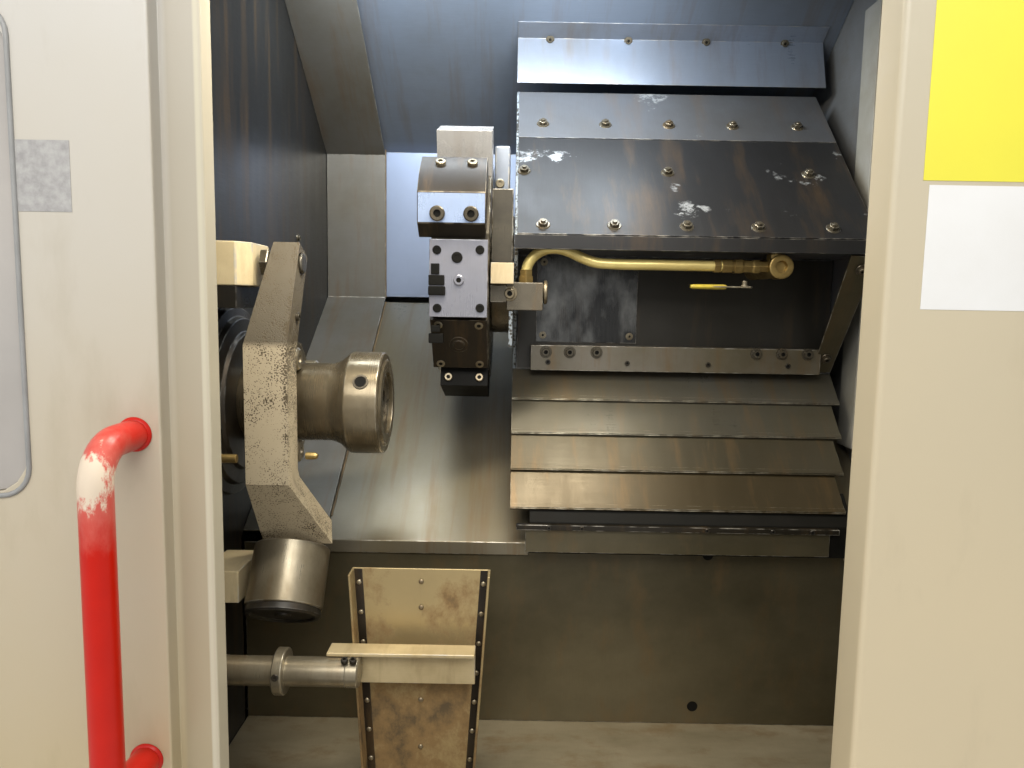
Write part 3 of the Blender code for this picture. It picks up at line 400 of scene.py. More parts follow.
def chipped(name, paint, below, scale, share, ragged_x=None, shaded_above_z=None):
    """Chipped paint: more chips right of ragged_x, and painted shade above a height."""
    shader, where = new_finish(name)
    warped = noise(where, 45, detail=5)
    cells = where.make("TexVoronoi", {"feature": "F1"}, {"Vector": where, "Scale": scale})
    worn = noise(where, 9, (1, 1, 0.7), 5) * 0.7 + warped * 0.5 + (0.45 - cells) * 0.55
    tone = blend(noise(where, 6, detail=5), paint, tuple(part * 0.78 for part in paint))
    # Above that height the paint is darkened to about a quarter: painted shade on the upper arm.
    if shaded_above_z is not None:
        tone = blend(along(where, 2).above(shaded_above_z, 0.004), tone, tuple(part * 0.26 for part in paint))
    if ragged_x is not None:
        ragged = along(where, 0).above(ragged_x, 0.004) * along(where, 2).above(axis_z - 0.07, 0.01)
        worn = worn + ragged * 0.13
    chips = (worn.above(0.93 - share, 0.02) + worn_edge(where)).clamped()
    bump = relief(where, 1 - chips, 0.5, 0.0007)
    plug(shader, blend(chips, tone, below), 0.5 - chips * 0.12, bump, chips * 0.4)


# The arm's paint is darkened above axis height plus 0.0925 m: painted shade on its upper part.
chipped("arm_paint", (0.51, 0.42, 0.275), (0.13, 0.1, 0.06), 420, 0.225,
        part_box("setting_arm")[0].x + 0.049, axis_z + 0.0925)
chipped("flaking", (0.22, 0.25, 0.27), (0.05, 0.047, 0.04), 180, 0.33)

# %% [markdown]
# The parts catcher's tray was once bright. Wet chips have rusted it from the bottom up, in blots
# with dark rims, so the rust mask grows as the height falls.

# %% Rusted tray steel


def rusted(name, top_tone, foot, top):
    """Steel that rusts from the foot up."""
    shader, where = new_finish(name)
    low_down = 1 - along(where, 2).ramp(foot, top)
    blots = noise(where, 17, (1, 1, 0.8), 8, 0.68, (4, 0, 1))
    rust = (blots + low_down * 0.34 - 0.17).above(0.53, 0.07)
    deep = (blots + low_down * 0.28 - 0.14).above(0.66, 0.06)
    brown = blend(deep, (0.2, 0.115, 0.04), (0.045, 0.026, 0.012))
    tone = blend(noise(where, 8, detail=6), top_tone, tuple(part * 0.7 for part in top_tone))
    rough = 0.4 + rust * 0.3 + (noise(where, 60) - 0.5) * 0.2
    bump = relief(where, blots, 0.35)
    plug(shader, blend(rust * 0.85, tone, brown), rough, bump, 0.55 - rust * 0.45)


rusted("tray_steel", (0.46, 0.35, 0.17), axis_z - 0.52, axis_z - 0.16)

# %% [markdown]
# Yellow brass and the dipped yellow lever are small but catch the eye, because all round them is
# grey. Brass that sits in coolant turns cream, with brown in the threads.

# %% Brass, rubber and glass


def plain(name, first, second, rough, metal, scale=20, numbers=None, bump=0.15):
    """A cloudy two-tone finish for small pieces."""
    shader, where = new_finish(name)
    clouds = noise(where, scale, detail=6)
    colour = blend(worn_edge(where) * 0.5, blend(clouds.above(0.5, 0.2), first, second), second)
    fine = relief(where, noise(where, 500), bump, 0.0004)
    plug(shader, colour, rough + (clouds - 0.5) * 0.3, fine, metal, numbers)


plain("pipe_brass", (0.86, 0.7, 0.26), (0.66, 0.5, 0.17), 0.32, 0.3)
plain("dull_brass", (0.42, 0.3, 0.11), (0.25, 0.17, 0.06), 0.4, 0.85, 60)
plain("yellow_dip", (0.62, 0.48, 0.05), (0.42, 0.31, 0.05), 0.45, 0.0, 60)
plain("rubber_seal", (0.02, 0.02, 0.02), (0.045, 0.043, 0.04), 0.6, 0.0)
plain("sealant", (0.22, 0.15, 0.07), (0.12, 0.08, 0.035), 0.5, 0.0, 40, bump=0.5)
plain("seal_grey", (0.3, 0.3, 0.29), (0.22, 0.22, 0.21), 0.5, 0.0)
plain("button_red", (0.55, 0.015, 0.01), (0.42, 0.012, 0.01), 0.3, 0.0)
plain("pane", (0.41, 0.38, 0.345), (0.33, 0.31, 0.285), 0.16, 0.0, 5, {"Coat Weight": 0.4}, 0.02)
plain("field_yellow", (0.72, 0.66, 0.05), (0.66, 0.6, 0.05), 0.42, 0.0, 4)
plain("field_white", (0.74, 0.74, 0.73), (0.66, 0.65, 0.62), 0.42, 0.0, 4)
plain("field_grey", (0.27, 0.26, 0.25), (0.4, 0.39, 0.37), 0.5, 0.0, 130)
# Near-black with little specular: painted shade in holes and socket floors; the clamps, the low block and the
# saddle use it too.
plain("pit_black", (0.004, 0.004, 0.003), (0.009, 0.008, 0.006), 0.6, 0.0,
      numbers={"Specular IOR Level": 0.1})
plain("screen_black", (0.012, 0.014, 0.016), (0.018, 0.02, 0.022), 0.12, 0.0)
plain("key_grey", (0.28, 0.28, 0.27), (0.22, 0.22, 0.21), 0.5, 0.0)
print("finishes:", len(finishes))

# %% [markdown]
# A CAD edge is perfectly sharp, but a real one is rounded and catches a line of light. So each
# visible solid is copied, its loose triangles are merged back into flat faces, and its edges are
# bevelled. The bevel's faces are marked, and the finishes show wear there.

# %% Soften a solid's edges


def keep(name, shape, finish, body, sharp=32):
    """Make a finished bmesh an object that rides on a body."""
    mesh = bpy.data.meshes.new(name)
    shape.to_mesh(mesh)
    shape.free()
    mesh.materials.append(finishes[finish])
    mesh.shade_smooth()
    mesh.set_sharp_from_angle(angle=math.radians(sharp))
    item = bpy.data.objects.new(name, mesh)
    bpy.context.scene.collection.objects.link(item)
    item.modifiers.new("even_shading", "WEIGHTED_NORMAL").keep_sharp = True
    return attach(item, body)


def round_edges(shape, width, segments=2, sharp=30):
    """Bevel every edge sharper than an angle, and mark the new faces as edge."""
    mark = shape.faces.layers.float.get("edge") or shape.faces.layers.float.new("edge")
    limit = math.radians(sharp)
    edges = [edge for edge in shape.edges if edge.is_manifold and edge.calc_face_angle() > limit]
    made = bmesh.ops.bevel(shape, geom=edges, offset=width, offset_type="OFFSET", segments=segments,
                           profile=0.5, affect="EDGES", material=-1, clamp_overlap=True, loop_slide=True)
    for face in made["faces"]:
        face[mark] = 1


def softened(node, finish, width):
    """The solid again with rounded edges, in place of the CAD node."""
    shape = bmesh.new()
    shape.from_mesh(nodes[node].data)
    bmesh.ops.remove_doubles(shape, verts=shape.verts, dist=0.00002)
    bmesh.ops.dissolve_limit(shape, angle_limit=math.radians(0.6), verts=shape.verts, edges=shape.edges)
    round_edges(shape, width)
    item = keep(node + "_skin", shape, finish, nodes[node]["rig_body"])
    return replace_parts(item, node)


softened_nodes = {
    "door_paint": {"sliding_door": 0.003},
    "panel_paint": {"front_right_panel": 0.006},
    "shell_paint": {"front_frame": 0.001, "cabinet_shell": 0.002, "back_panel": 0.001,
                    "electrical_cabinet": 0.004},
    "dark_paint": {"base_plinth": 0.003, "control_box": 0.005, "spindle_motor": 0.004,
                   "coolant_tank": 0.002},
    "liner_sheet": {"left_wall": 0.0008},
    "side_sheet": {"right_wall": 0.0008},
    "roof_sheet": {"rear_liner": 0.001},
    "way_sheet": {"way_plate_left": 0.001, "way_plate_right": 0.001},
    "apron_sheet": {"pan_back": 0.001},
    "pan_sheet": {"chip_pan": 0.001},
    "cover_sheet_1": {"slope_cover_1": 0.0006},
    "cover_sheet_2": {"slope_cover_2": 0.0006},
    "cover_sheet_3": {"slope_cover_3": 0.0006},
    "cover_sheet_4": {"slope_cover_4": 0.0006},
    "casing_sheet": {"slide_casing": 0.0012, "right_cheek": 0.0012},
    "pit_black": {"saddle": 0.002},
    "dark_sheet": {"slide_casting": 0.002, "spindle_pulley": 0.002, "motor_pulley": 0.002},
    "tool_steel": {"top_block": 0.0012},
    "smear_sheet": {"access_plate": 0.0008},
    "cast_iron": {"slant_bed": 0.003, "headstock": 0.004},
    "pale_cream": {"wall_ledge": 0.0015},
    "tray_steel": {"catcher_tray": 0.0007},
    "arm_paint": {"setting_arm": 0.0022},
    "flaking": {"left_cheek": 0.0012},
    "pale_sheet": {"wiper_cover": 0.0006},
    "corner_sheet": {"corner_liner": 0.001},
    "oiled_steel": {"turret_disc": 0.002, "turret_neck": 0.002},
    "strap_steel": {"catcher_strap": 0.001},
    "foot_sheet": {"upper_track": 0.002, "lower_track": 0.002},
    "rubber_seal": {"drive_belt": 0.001},
    "pane": {"door_window": 0.001},
}
for finish, group in softened_nodes.items():
    for node, width in group.items():
        softened(node, finish, width)
print("shaped again below:", sorted(set(nodes).difference(*softened_nodes.values())))

# %% [markdown]
# Round pieces are turned again from their profiles in many more steps than the CAD has, so no
# corner shows on their outline. A profile is a short list of (along, radius) points, and
# bmesh's spin operator carries it round the axis.

# %% Turn a profile


def spun(profile, start=(0, 0, 0), axis="Z", steps=96, width=0.001, closed=False, lean=None):
    """A profile of (along, radius) points turned about an axis, or a leaning one, through start."""
    shape = bmesh.new()
    verts = [shape.verts.new((away, radius, 0)) for away, radius in profile]
    edges = [shape.edges.new(pair) for pair in zip(verts, verts[1:])]
    if closed:
        edges.append(shape.edges.new((verts[-1], verts[0])))
    bmesh.ops.spin(shape, geom=verts + edges, cent=(0, 0, 0), axis=(1, 0, 0), angle=math.tau, steps=steps,
                   use_merge=True, use_duplicate=False)
    bmesh.ops.remove_doubles(shape, verts=shape.verts, dist=0.00001)
    bmesh.ops.recalc_face_normals(shape, faces=shape.faces)
    if width:
        round_edges(shape, width, sharp=25)
    if lean is None:
        lean = {"X": Matrix(), "Y": Matrix.Rotation(math.radians(90), 4, "Z"),
                "Z": Matrix.Rotation(math.radians(-90), 4, "Y")}[axis]
    bmesh.ops.transform(shape, matrix=Matrix.Translation(start) @ lean, verts=shape.verts)
    return shape


def join(shapes):
    """Several shapes in one mesh."""
    whole = bmesh.new()
    whole.faces.layers.float.new("edge")
    for shape in shapes:
        copy = bpy.data.meshes.new("copy")
        shape.to_mesh(copy)
        shape.free()
        whole.from_mesh(copy)
        bpy.data.meshes.remove(copy)
    return whole


# %% [markdown]
# The chuck is a nose of oily steel: a tube that flares by a cone into a thick cap. Its face is
# hollow, and a split collet sits in it. A key socket is in the cap's front side.

# %% Chuck nose, collet and spindle


def turned_node(profile, name, finish, steps, width, node):
    """A turned tube on the spindle axis in place of a CAD node."""
    shape = spun(profile, from_axis(0, 0, 0), "X", steps, width, True)
    item = keep(name, shape, finish, nodes[node]["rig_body"])
    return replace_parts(item, node)


nose_left, nose_right = (corner.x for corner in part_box("collet_chuck"))
nose_profile = [(nose_right, 0.0463), (nose_right, 0.062), (nose_right - 0.003, 0.0655),
                (nose_right - 0.003, 0.073), (nose_right - 0.005, 0.0755), (nose_right - 0.05, 0.0755),
                (nose_right - 0.054, 0.0735), (nose_right - 0.066, 0.0625), (nose_right - 0.08, 0.0575),
                (nose_left + 0.012, 0.0575), (nose_left + 0.01, 0.062), (nose_left, 0.062),
                (nose_left, 0.031), (nose_right - 0.0563, 0.031), (nose_right - 0.0563, 0.0463)]
turned_node(nose_profile, "chuck_nose", "spindle_steel", 128, 0.0009, "collet_chuck")
left, right = (corner.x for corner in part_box("collet"))
collet_right = right
collet_profile = [(right, 0.019), (right, 0.03), (right - 0.004, 0.033), (right - 0.004, 0.04),
                  (right, 0.043), (right, 0.046), (left, 0.046), (left, 0.019)]
turned_node(collet_profile, "collet_body", "oiled_steel", 96, 0.0006, "collet")
left, right = (corner.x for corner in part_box("spindle"))
flange_right = right
spindle_profile = [(right, 0.031), (right, 0.09), (right - 0.0025, 0.0925), (right - 0.0175, 0.0925),
                   (right - 0.02, 0.09), (right - 0.02, 0.0575), (left, 0.0575), (left, 0.031)]
turned_node(spindle_profile, "spindle_shaft", "spindle_steel", 96, 0.0008, "spindle")
left, right = (corner.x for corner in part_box("spindle_shield"))
shield_profile = [(right, 0.058), (right, 0.1), (right - 0.006, 0.103), (right - 0.008, 0.122),
                  (right - 0.016, 0.125), (right - 0.018, 0.138), (right - 0.022, 0.14), (left, 0.14),
                  (left, 0.058)]
turned_node(shield_profile, "spindle_shield_rings", "black_oxide", 128, 0.0012, "spindle_shield")
print("nose from", round(nose_left, 4), "to", round(nose_right, 4))

# %% [markdown]
# The door handle is a bent tube. A curve with a round bevel gives a smooth bend, and it is made
# a mesh at once, so that its place is in its points.

# %% Tubes along a route


def tube_mesh(route, radius, steps, cyclic=False, smooth=True):
    """A round tube along points, as a bmesh."""
    curve = bpy.data.curves.new("route", "CURVE")
    curve.dimensions = "3D"
    curve.bevel_depth = radius
    curve.bevel_resolution = steps
    curve.resolution_u = 8
    curve.use_fill_caps = not cyclic
    spline = curve.splines.new("BEZIER" if smooth else "POLY")
    points = spline.bezier_points if smooth else spline.points
    points.add(len(route) - 1)
    for point, place in zip(points, route):
        if smooth:
            point.co = place
            point.handle_left_type = point.handle_right_type = "AUTO"
        else:
            point.co = (*place, 1)
    spline.use_cyclic_u = cyclic
    item = bpy.data.objects.new("route", curve)
    bpy.context.scene.collection.objects.link(item)
    bpy.context.view_layer.update()
    mesh = bpy.data.meshes.new_from_object(item.evaluated_get(bpy.context.evaluated_depsgraph_get()))
    bpy.data.objects.remove(item)
    shape = bmesh.new()
    shape.from_mesh(mesh)
    bpy.data.meshes.remove(mesh)
    bmesh.ops.remove_doubles(shape, verts=shape.verts, dist=0.00001)
    bmesh.ops.recalc_face_normals(shape, faces=shape.faces)
    return shape


def bent(points, bend, steps=10):
    """Straight runs joined by round bends."""
    route = [Vector(points[0])]
    for before, corner, after in zip(points, points[1:], points[2:]):
        corner = Vector(corner)
        toward = (Vector(before) - corner).normalized()
        away = (Vector(after) - corner).normalized()
        half = toward.angle(away) / 2
        reach = bend / math.tan(half)
        centre = corner + (toward + away).normalized() * bend / math.sin(half)
        first, last = corner + toward * reach - centre, corner + away * reach - centre
        sweep = first.angle(last)
        normal = first.cross(last).normalized()
        for step in range(steps + 1):
            route.append(centre + Matrix.Rotation(sweep * step / steps, 3, normal) @ first)
    route.append(Vector(points[-1]))
    return route


low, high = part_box("door_handle")
grip_x, grip_radius = (low.x + high.x) / 2, 0.0145
grip_y = low.y + grip_radius
low_z, high_z = low.z + grip_radius, high.z - grip_radius
grip_route = bent([(grip_x, y, z) for y, z in ((front_y, low_z), (grip_y, low_z), (grip_y, high_z),
                                               (front_y, high_z))], 0.036)
grip = tube_mesh(grip_route, grip_radius, 12, smooth=False)
handle_paint((grip_x - 0.01, grip_y - 0.008, high_z - 0.028))
handle = keep("door_handle_tube", grip, "handle_paint", "door", 60)
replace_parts(handle, "door_handle")
mount = [(0, 0), (0, 0.0165), (-0.0012, 0.017), (-0.0025, 0.016), (-0.004, 0.0148), (-0.004, 0)]
mounts = [spun(mount, (grip_x, front_y, z), "Y", 48, 0.0006) for z in (low_z, high_z)]
keep("handle_mounts", join(mounts), "handle_paint", "door")
print("handle at x", round(grip_x, 3))

# %% [markdown]
# A machine like this is held together by dozens of small screws, and they tell its size. Each kind
# is made once, looking up along +Z: a turned head with a hexagon sunk in or standing up. Then it
# is copied, turned to its surface, and joined with its neighbours into one piece.

# %% Screws


def top_of(shape, height):
    """The faces of a screw head that lie in its top."""
    return [face for face in shape.faces if face.calc_center_median().z > height * 0.99]


def cap_screw(radius, height, washer=0.0):
    """A round head with a hexagon socket, on a washer if one is asked for."""
    outline = [(height, 0), (height, radius * 0.86), (height * 0.8, radius), (0, radius), (0, 0)]
    head = spun(outline, steps=20, width=0)
    bmesh.ops.dissolve_faces(head, faces=top_of(head, height))
    bmesh.ops.inset_region(head, faces=top_of(head, height), thickness=radius * 0.36, use_even_offset=True)
    middle = min(head.faces, key=lambda face: (face.calc_center_median() - Vector((0, 0, height))).length)
    sunk = bmesh.ops.extrude_discrete_faces(head, faces=[middle])["faces"]
    bmesh.ops.translate(head, vec=(0, 0, -height * 0.6), verts=sunk[0].verts)
    if not washer:
        return head
    disc = spun([(washer, 0), (washer, radius * 1.35), (0, radius * 1.45), (0, 0)], steps=20, width=0)
    bmesh.ops.translate(head, vec=(0, 0, washer), verts=head.verts)
    return join([head, disc])


def nut(radius, height, washer=0.0015):
    """A hexagon nut on a washer, with the end of its stud in the middle."""
    body = bmesh.new()
    made = bmesh.ops.create_cone(body, cap_ends=True, segments=6, radius1=radius, radius2=radius,
                                 depth=height)
    bmesh.ops.translate(body, vec=(0, 0, washer + height / 2), verts=made["verts"])
    round_edges(body, radius * 0.08, 1)
    disc = spun([(washer, 0), (washer, radius * 1.3), (0, radius * 1.45), (0, 0)], steps=24, width=0)
    end = washer + height * 1.5
    stud = spun([(end, 0), (end, radius * 0.42), (washer + height * 1.35, radius * 0.5),
                 (washer, radius * 0.5), (washer, 0)], steps=16, width=0)
    return join([body, disc, stud])


def rivet(radius, height):
    """A low round head."""
    turns = [math.radians(step) for step in range(0, 91, 18)]
    dome = [(height * math.cos(turn), radius * math.sin(turn)) for turn in turns]
    return spun(dome + [(0, 0)], steps=16, width=0)


def hole_disc(radius, depth=0.0004):
    """The dark mouth of a drilled hole, as a shallow black dish that paints the hole's shade."""
    return spun([(depth * 0.4, 0), (depth * 0.4, radius * 0.8), (depth, radius * 0.9), (depth, radius),
                 (0, radius), (0, 0)], steps=20, width=0)


def turned_to(facing):
    """The turn that takes +Z to a direction."""
    return Vector((0, 0, 1)).rotation_difference(Vector(facing).normalized()).to_matrix().to_4x4()


def set_on(name, make, places, facing, finish, body):
    """Copies of one small shape at several places, all facing one way."""
    turn = turned_to(facing)
    copies = []
    for number, place in enumerate(places):
        shape = make()
        spin = Matrix.Rotation(number * 1.1, 4, "Z")  # no two stand at the same turn
        bmesh.ops.transform(shape, matrix=Matrix.Translation(place) @ turn @ spin, verts=shape.verts)
        copies.append(shape)
    return keep(name, join(copies), finish, body)


def screws(name, radius, height, places, facing, finish, body, washer=0.0):
    """Cap screws at several places, with black discs in their sockets as painted shade."""
    set_on(name, lambda: cap_screw(radius, height, washer), places, facing, finish, body)
    # A black disc sits in each socket: painted shade down in it.
    high, low, wide = washer + height * 0.6, washer + height * 0.45, radius * 0.49
    socket_shade_disc = [(high, 0), (high, wide), (low, wide), (low, 0)]
    return set_on(name + "_socket_shade", lambda: spun(socket_shade_disc, steps=16, width=0), places, facing,
                  "pit_black", body)


print("cap screw has", len(cap_screw(0.005, 0.005).faces), "faces")

# %% [markdown]
# Bent sheets and flat bars come up everywhere: they are an outline in one plane, pulled to a
# thickness. This helper extrudes such an outline and rounds its edges.

# %% Plates and blocks


def plate(outline, thickness, width=0.0008):
    """A flat outline of 3-D points, given a thickness along its normal and rounded edges."""
    shape = bmesh.new()
    face = shape.faces.new([shape.verts.new(point) for point in outline])
    face.normal_update()
    normal = face.normal.copy()
    made = bmesh.ops.extrude_face_region(shape, geom=[face])
    moved = [item for item in made["geom"] if isinstance(item, bmesh.types.BMVert)]
    bmesh.ops.translate(shape, vec=normal * thickness, verts=moved)
    bmesh.ops.recalc_face_normals(shape, faces=shape.faces)
    if width:
        round_edges(shape, width)
    return shape


def block(low, high, width=0.001):
    """A rectangular block with rounded edges, between two corners measured from the axis."""
    (x0, y0, z0), (x1, y1, z1) = low, high
    foot = [from_axis(x, y, z0) for x, y in ((x0, y0), (x0, y1), (x1, y1), (x1, y0))]
    return plate(foot, z0 - z1, width)


up_slope = Vector((0, 1, 1)).normalized()
off_slope = Vector((0, -1, 1)).normalized()
casing_edge = from_axis(0, 0.05, 0.255)


def on_casing(x, up, lift):
    """A point on the casing's sloping top: x, how far up from its front edge, and lift off it."""
    return Vector((x, 0, 0)) + casing_edge + up_slope * up + off_slope * lift


# %% [markdown]
# The casing's top is two plates bolted on the bent cover: a short one behind, and a big one in
# front with bolts in rows. The joint line and the nuts are what the eye reads as its scale.

# %% Casing plates and their nuts


def on_slide(name, shape, finish):
    return keep(name, shape, finish, "cross_slide")


casing_left, casing_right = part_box("left_cheek")[0].x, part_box("right_cheek")[1].x
for name, low, high, finish in (("casing_front_plate", 0.001, 0.2555, "casing_front"),
                                ("casing_rear_plate", 0.258, 0.404, "casing_sheet")):
    left, right = casing_left + 0.004, casing_right - 0.001
    corners = ((left, low), (right, low), (right, high), (left, high))
    sheet = plate([on_casing(x, up, 0.0002) for x, up in corners], 0.0022, 0.0006)
    on_slide(name, sheet, finish)
nut_rows = {0.3: (0.097, 0.2077, 0.3204, 0.4335, 0.5488), 0.16: (0.064, 0.302, 0.5355),
            0.022: (0.0936, 0.2035, 0.3153, 0.4259, 0.5415)}
nut_places = [on_casing(x, up + 0.006 * (x - 0.09), 0.0024) for up, row in nut_rows.items() for x in row]
set_on("casing_nuts", lambda: nut(0.0078, 0.0055), nut_places, off_slope, "oiled_steel", "cross_slide")
lip = [from_axis(x, 0.0482, z) for x, z in ((casing_left, 0.2345), (casing_right, 0.2345),
                                            (casing_right, 0.2555), (casing_left, 0.2555))]
on_slide("casing_lip", plate(lip, 0.0015, 0.0005), "casing_front")
print("casing nuts:", len(nut_places))

# %% [markdown]
# Under the casing is a recess; a dark sheet at its back is painted shade. At its foot a bar clamps
# the top cover plate down, with big screws at both ends and small ones between. On the right a slanted flange
# closes it.

# %% Recess: foot bar, side flange and access plate
ahead = (0, -1, 0)
foot_bar = block((0.081, 0.172, 0.0375), (0.579, 0.1985, 0.081), 0.0015)
on_slide("foot_bar", foot_bar, "foot_sheet")
big = [from_axis(x, 0.172, 0.069 + (x - 0.1) * 0.008) for x in (0.107, 0.148, 0.194, 0.468, 0.512, 0.556)]
small = [from_axis(x, 0.172, 0.052) for x in (0.111, 0.247, 0.386, 0.523)]
screws("foot_bar_screws", 0.0072, 0.006, big, ahead, "oiled_steel", "cross_slide", 0.0012)
screws("foot_bar_small_screws", 0.0042, 0.003, small, ahead, "black_oxide", "cross_slide")
cheek_top, cheek_foot, cheek_run = 0.235, 0.037, 0.15


def cheek_depth(z):
    """Depth of the slanted front edge of the cheeks at a height."""
    return 0.05 + (cheek_top - z) / (cheek_top - cheek_foot) * cheek_run


flange = [from_axis(x, cheek_depth(z) - 0.0005, z) for x, z in
          ((0.566, 0.232), (0.607, 0.232), (0.607, 0.04), (0.575, 0.04))]
on_slide("right_flange", plate(flange, 0.003), "apron_sheet")
bolts = [from_axis(0.589, cheek_depth(z) - 0.0035, z) for z in (0.212, 0.066)]
screws("flange_bolts", 0.0066, 0.006, bolts, (0, cheek_foot - cheek_top, -cheek_run), "oiled_steel",
       "cross_slide", 0.0012)
low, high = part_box("access_plate")
corners = [Vector((x, low.y, z)) for x in (low.x + 0.012, high.x - 0.012)
           for z in (low.z + 0.012, high.z - 0.012)]
screws("access_plate_screws", 0.0045, 0.0035, corners, ahead, "worn_steel", "cross_slide", 0.0008)
# A dark sheet at the back of the recess paints the shade under the casing.
recess_back = [from_axis(x, 0.1985, z) for x, z in
               ((0.058, 0.0385), (0.6, 0.0385), (0.6, 0.233), (0.058, 0.233))]
on_slide("recess_back", plate(recess_back, 0.0012, 0.0003), "recess_shade_sheet")
print("recess dressed")

# %% [markdown]
# The slope covers are stainless plates whose lower edges are folded over, which gives each a
# bright line. Below the last one a dark bar and a fixed panel close the saddle's front.

# %% Cover lips and the saddle's front
for number in range(1, 5):
    low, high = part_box(f"slope_cover_{number}")
    rim = [Vector((x, low.y + 0.0012, low.z + 0.0042)) for x in (low.x, high.x)]
    hem = plate([*rim, rim[1] + up_slope * 0.007, rim[0] + up_slope * 0.007], 0.0011, 0.0004)
    body = "cross_slide" if number == 1 else f"cover_{number}"
    keep(f"cover_hem_{number}", hem, f"cover_sheet_{number}", body)
face_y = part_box("saddle")[0].y - axis_y
panel = block((0.0745, face_y - 0.0035, -0.228), (0.5405, face_y - 0.0002, -0.192), 0.0008)
keep("saddle_front_panel", panel, "apron_sheet", "saddle")
bar = block((0.06, face_y - 0.01, -0.1915), (0.552, face_y - 0.0003, -0.183))
keep("saddle_front_bar", bar, "dark_sheet", "saddle")
bar_screws = [from_axis(x, face_y - 0.01, -0.18725) for x in (0.11, 0.16, 0.35, 0.45, 0.51)]
screws("saddle_bar_screws", 0.0036, 0.003, bar_screws, ahead, "black_oxide", "saddle")
print("saddle front", round(face_y, 4))

# %% [markdown]
# The wiper is a springy sheet that leans on the casing. Four screws hold its flange on the roof.

# %% Wiper screws
wiper_screws = [from_axis(x, 0.3605, 0.6455) for x in (0.1106, 0.2577, 0.4044, 0.5525)]
screws("wiper_screws", 0.0056, 0.004, wiper_screws, (0, -0.9, -0.25), "oiled_steel", "frame",
       0.001)
print("wiper screws:", len(wiper_screws))

# %% [markdown]
# The turret is seen edge on, and its ten flats are its stations. A point given by the angle of a
# flat, how far out of it and how far sideways keeps every piece square to its own flat.

# %% Places on the turret
disc_low, disc_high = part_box("turret_disc")
turret_axis = (disc_low + disc_high) / 2
flat_out = 0.1713


def outward(angle):
    """The way out of the turret at an angle: 90 is up, and 180 is towards the door."""
    return Vector((0, math.cos(math.radians(angle)), math.sin(math.radians(angle))))


def station(angle, x, out, sideways):
    """A point over one flat of the turret: out from its face, and sideways along it."""
    middle = Vector((x, turret_axis.y, turret_axis.z))
    return middle + outward(angle) * (flat_out + out) + outward(angle + 90) * sideways


def on_turret(name, shape, finish):
    return keep(name, shape, finish, "turret")


def turret_screws(name, radius, height, places, facing, finish):
    return screws(name, radius, height, places, facing, finish, "turret")


def seat(angle, low_side, high_side):
    """A square tool seat bolted over one flat of the turret."""
    corners = ((-0.0762, low_side), (-0.0762, high_side), (0.0108, high_side), (0.0108, low_side))
    return plate([station(angle, x, 0.0004, side) for x, side in corners], 0.0116, 0.001)


print("turret axis", [round(part, 4) for part in turret_axis])

# %% [markdown]
# A drilled face plate with a clamp looks at the door, and below it is an empty seat, oxidised, whose very
# dark brown also holds painted shade. They are thin plates on neighbouring flats, so both come from one
# helper.

# %% Face plate and lower seat
face_plate = on_turret("face_plate_skin", seat(180, -0.044, 0.071), "blue_grey")
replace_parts(face_plate, "face_plate")
# The seat's very dark brown is oxide and painted shade together.
on_turret("lower_seat", seat(216, -0.0395, 0.056), "brown_steel")
plate_y = 0.0163
# The face plate's holes are black screw shapes: painted shade where the holes are.
holes = [from_axis(x, plate_y, z) for x, z in
         ((-0.065, 0.228), (-0.001, 0.229), (-0.064, 0.142), (0.0, 0.143))]
turret_screws("face_plate_holes", 0.0066, 0.0016, holes, ahead, "pit_black")
top_hole, button = [from_axis(-0.035, plate_y, 0.2175)], [from_axis(-0.032, plate_y, 0.184)]
turret_screws("face_plate_top_hole", 0.0082, 0.0018, top_hole, ahead, "pit_black")
turret_screws("face_plate_button", 0.0078, 0.0035, button, ahead, "blue_grey")
clamp = join([block((-0.077, 0.012, 0.176), (-0.0535, plate_y, 0.191)),
              block((-0.077, 0.009, 0.161), (-0.052, plate_y, 0.1745), 0.0015),
              block((-0.0735, 0.013, 0.192), (-0.061, plate_y, 0.208))])
on_turret("face_plate_clamp", clamp, "pit_black")
seat_out = 0.0121
corners = [station(216, x, seat_out, side) for x in (-0.064, -0.002) for side in (-0.03, 0.047)]
turret_screws("lower_seat_screws", 0.0066, 0.0018, corners, outward(216), "worn_steel")
boss = [(0.0022, 0), (0.0022, 0.008), (0.0008, 0.0095), (0.0008, 0.0145), (0, 0.0155), (0, 0)]
boss_place = [station(216, -0.034, seat_out, 0.008)]
set_on("lower_seat_boss", lambda: spun(boss, steps=32, width=0.0003), boss_place, outward(216), "brown_steel",
       "turret")
low_clamp = join([block((-0.0775, 0.022, 0.089), (-0.055, 0.03, 0.104), 0.0015),
                  block((-0.0735, 0.02, 0.106), (-0.06, 0.028, 0.116))])
on_turret("lower_seat_clamp", low_clamp, "pit_black")
print("seat screws:", len(corners), "face plate holes:", len(holes) + 1)

# %% [markdown]
# Above the face plate is a bevelled holder with four socket screws, and the lowest block closes
# the row. The holder's flank mirrors the sky-blue roof, and a thin bluish sheet on it is that painted
# reflection.

# %% Holder and lowest block
low_block = plate([station(252, x, out, 0.044) for x, out in
                   ((-0.066, 0.0005), (-0.066, 0.036), (0.0108, 0.036), (0.0108, 0.0005))], 0.09, 0.0015)
on_turret("low_block", low_block, "pit_black")
places = [station(252, x, 0.022, -0.0458) for x in (-0.053, -0.003)]
turret_screws("low_block_screws", 0.0066, 0.005, places, outward(252 - 90), "worn_steel")
holder = plate([station(144, -0.0922, out, side) for out, side in
                ((0.0005, -0.0525), (0.046, -0.0525), (0.0595, -0.01), (0.0595, 0.0325), (0.031, 0.067),
                 (0.0005, 0.068))], 0.1, 0.0014)
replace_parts(on_turret("tool_holder_skin", holder, "brown_steel"), "tool_holder")
facing_out = outward(184)
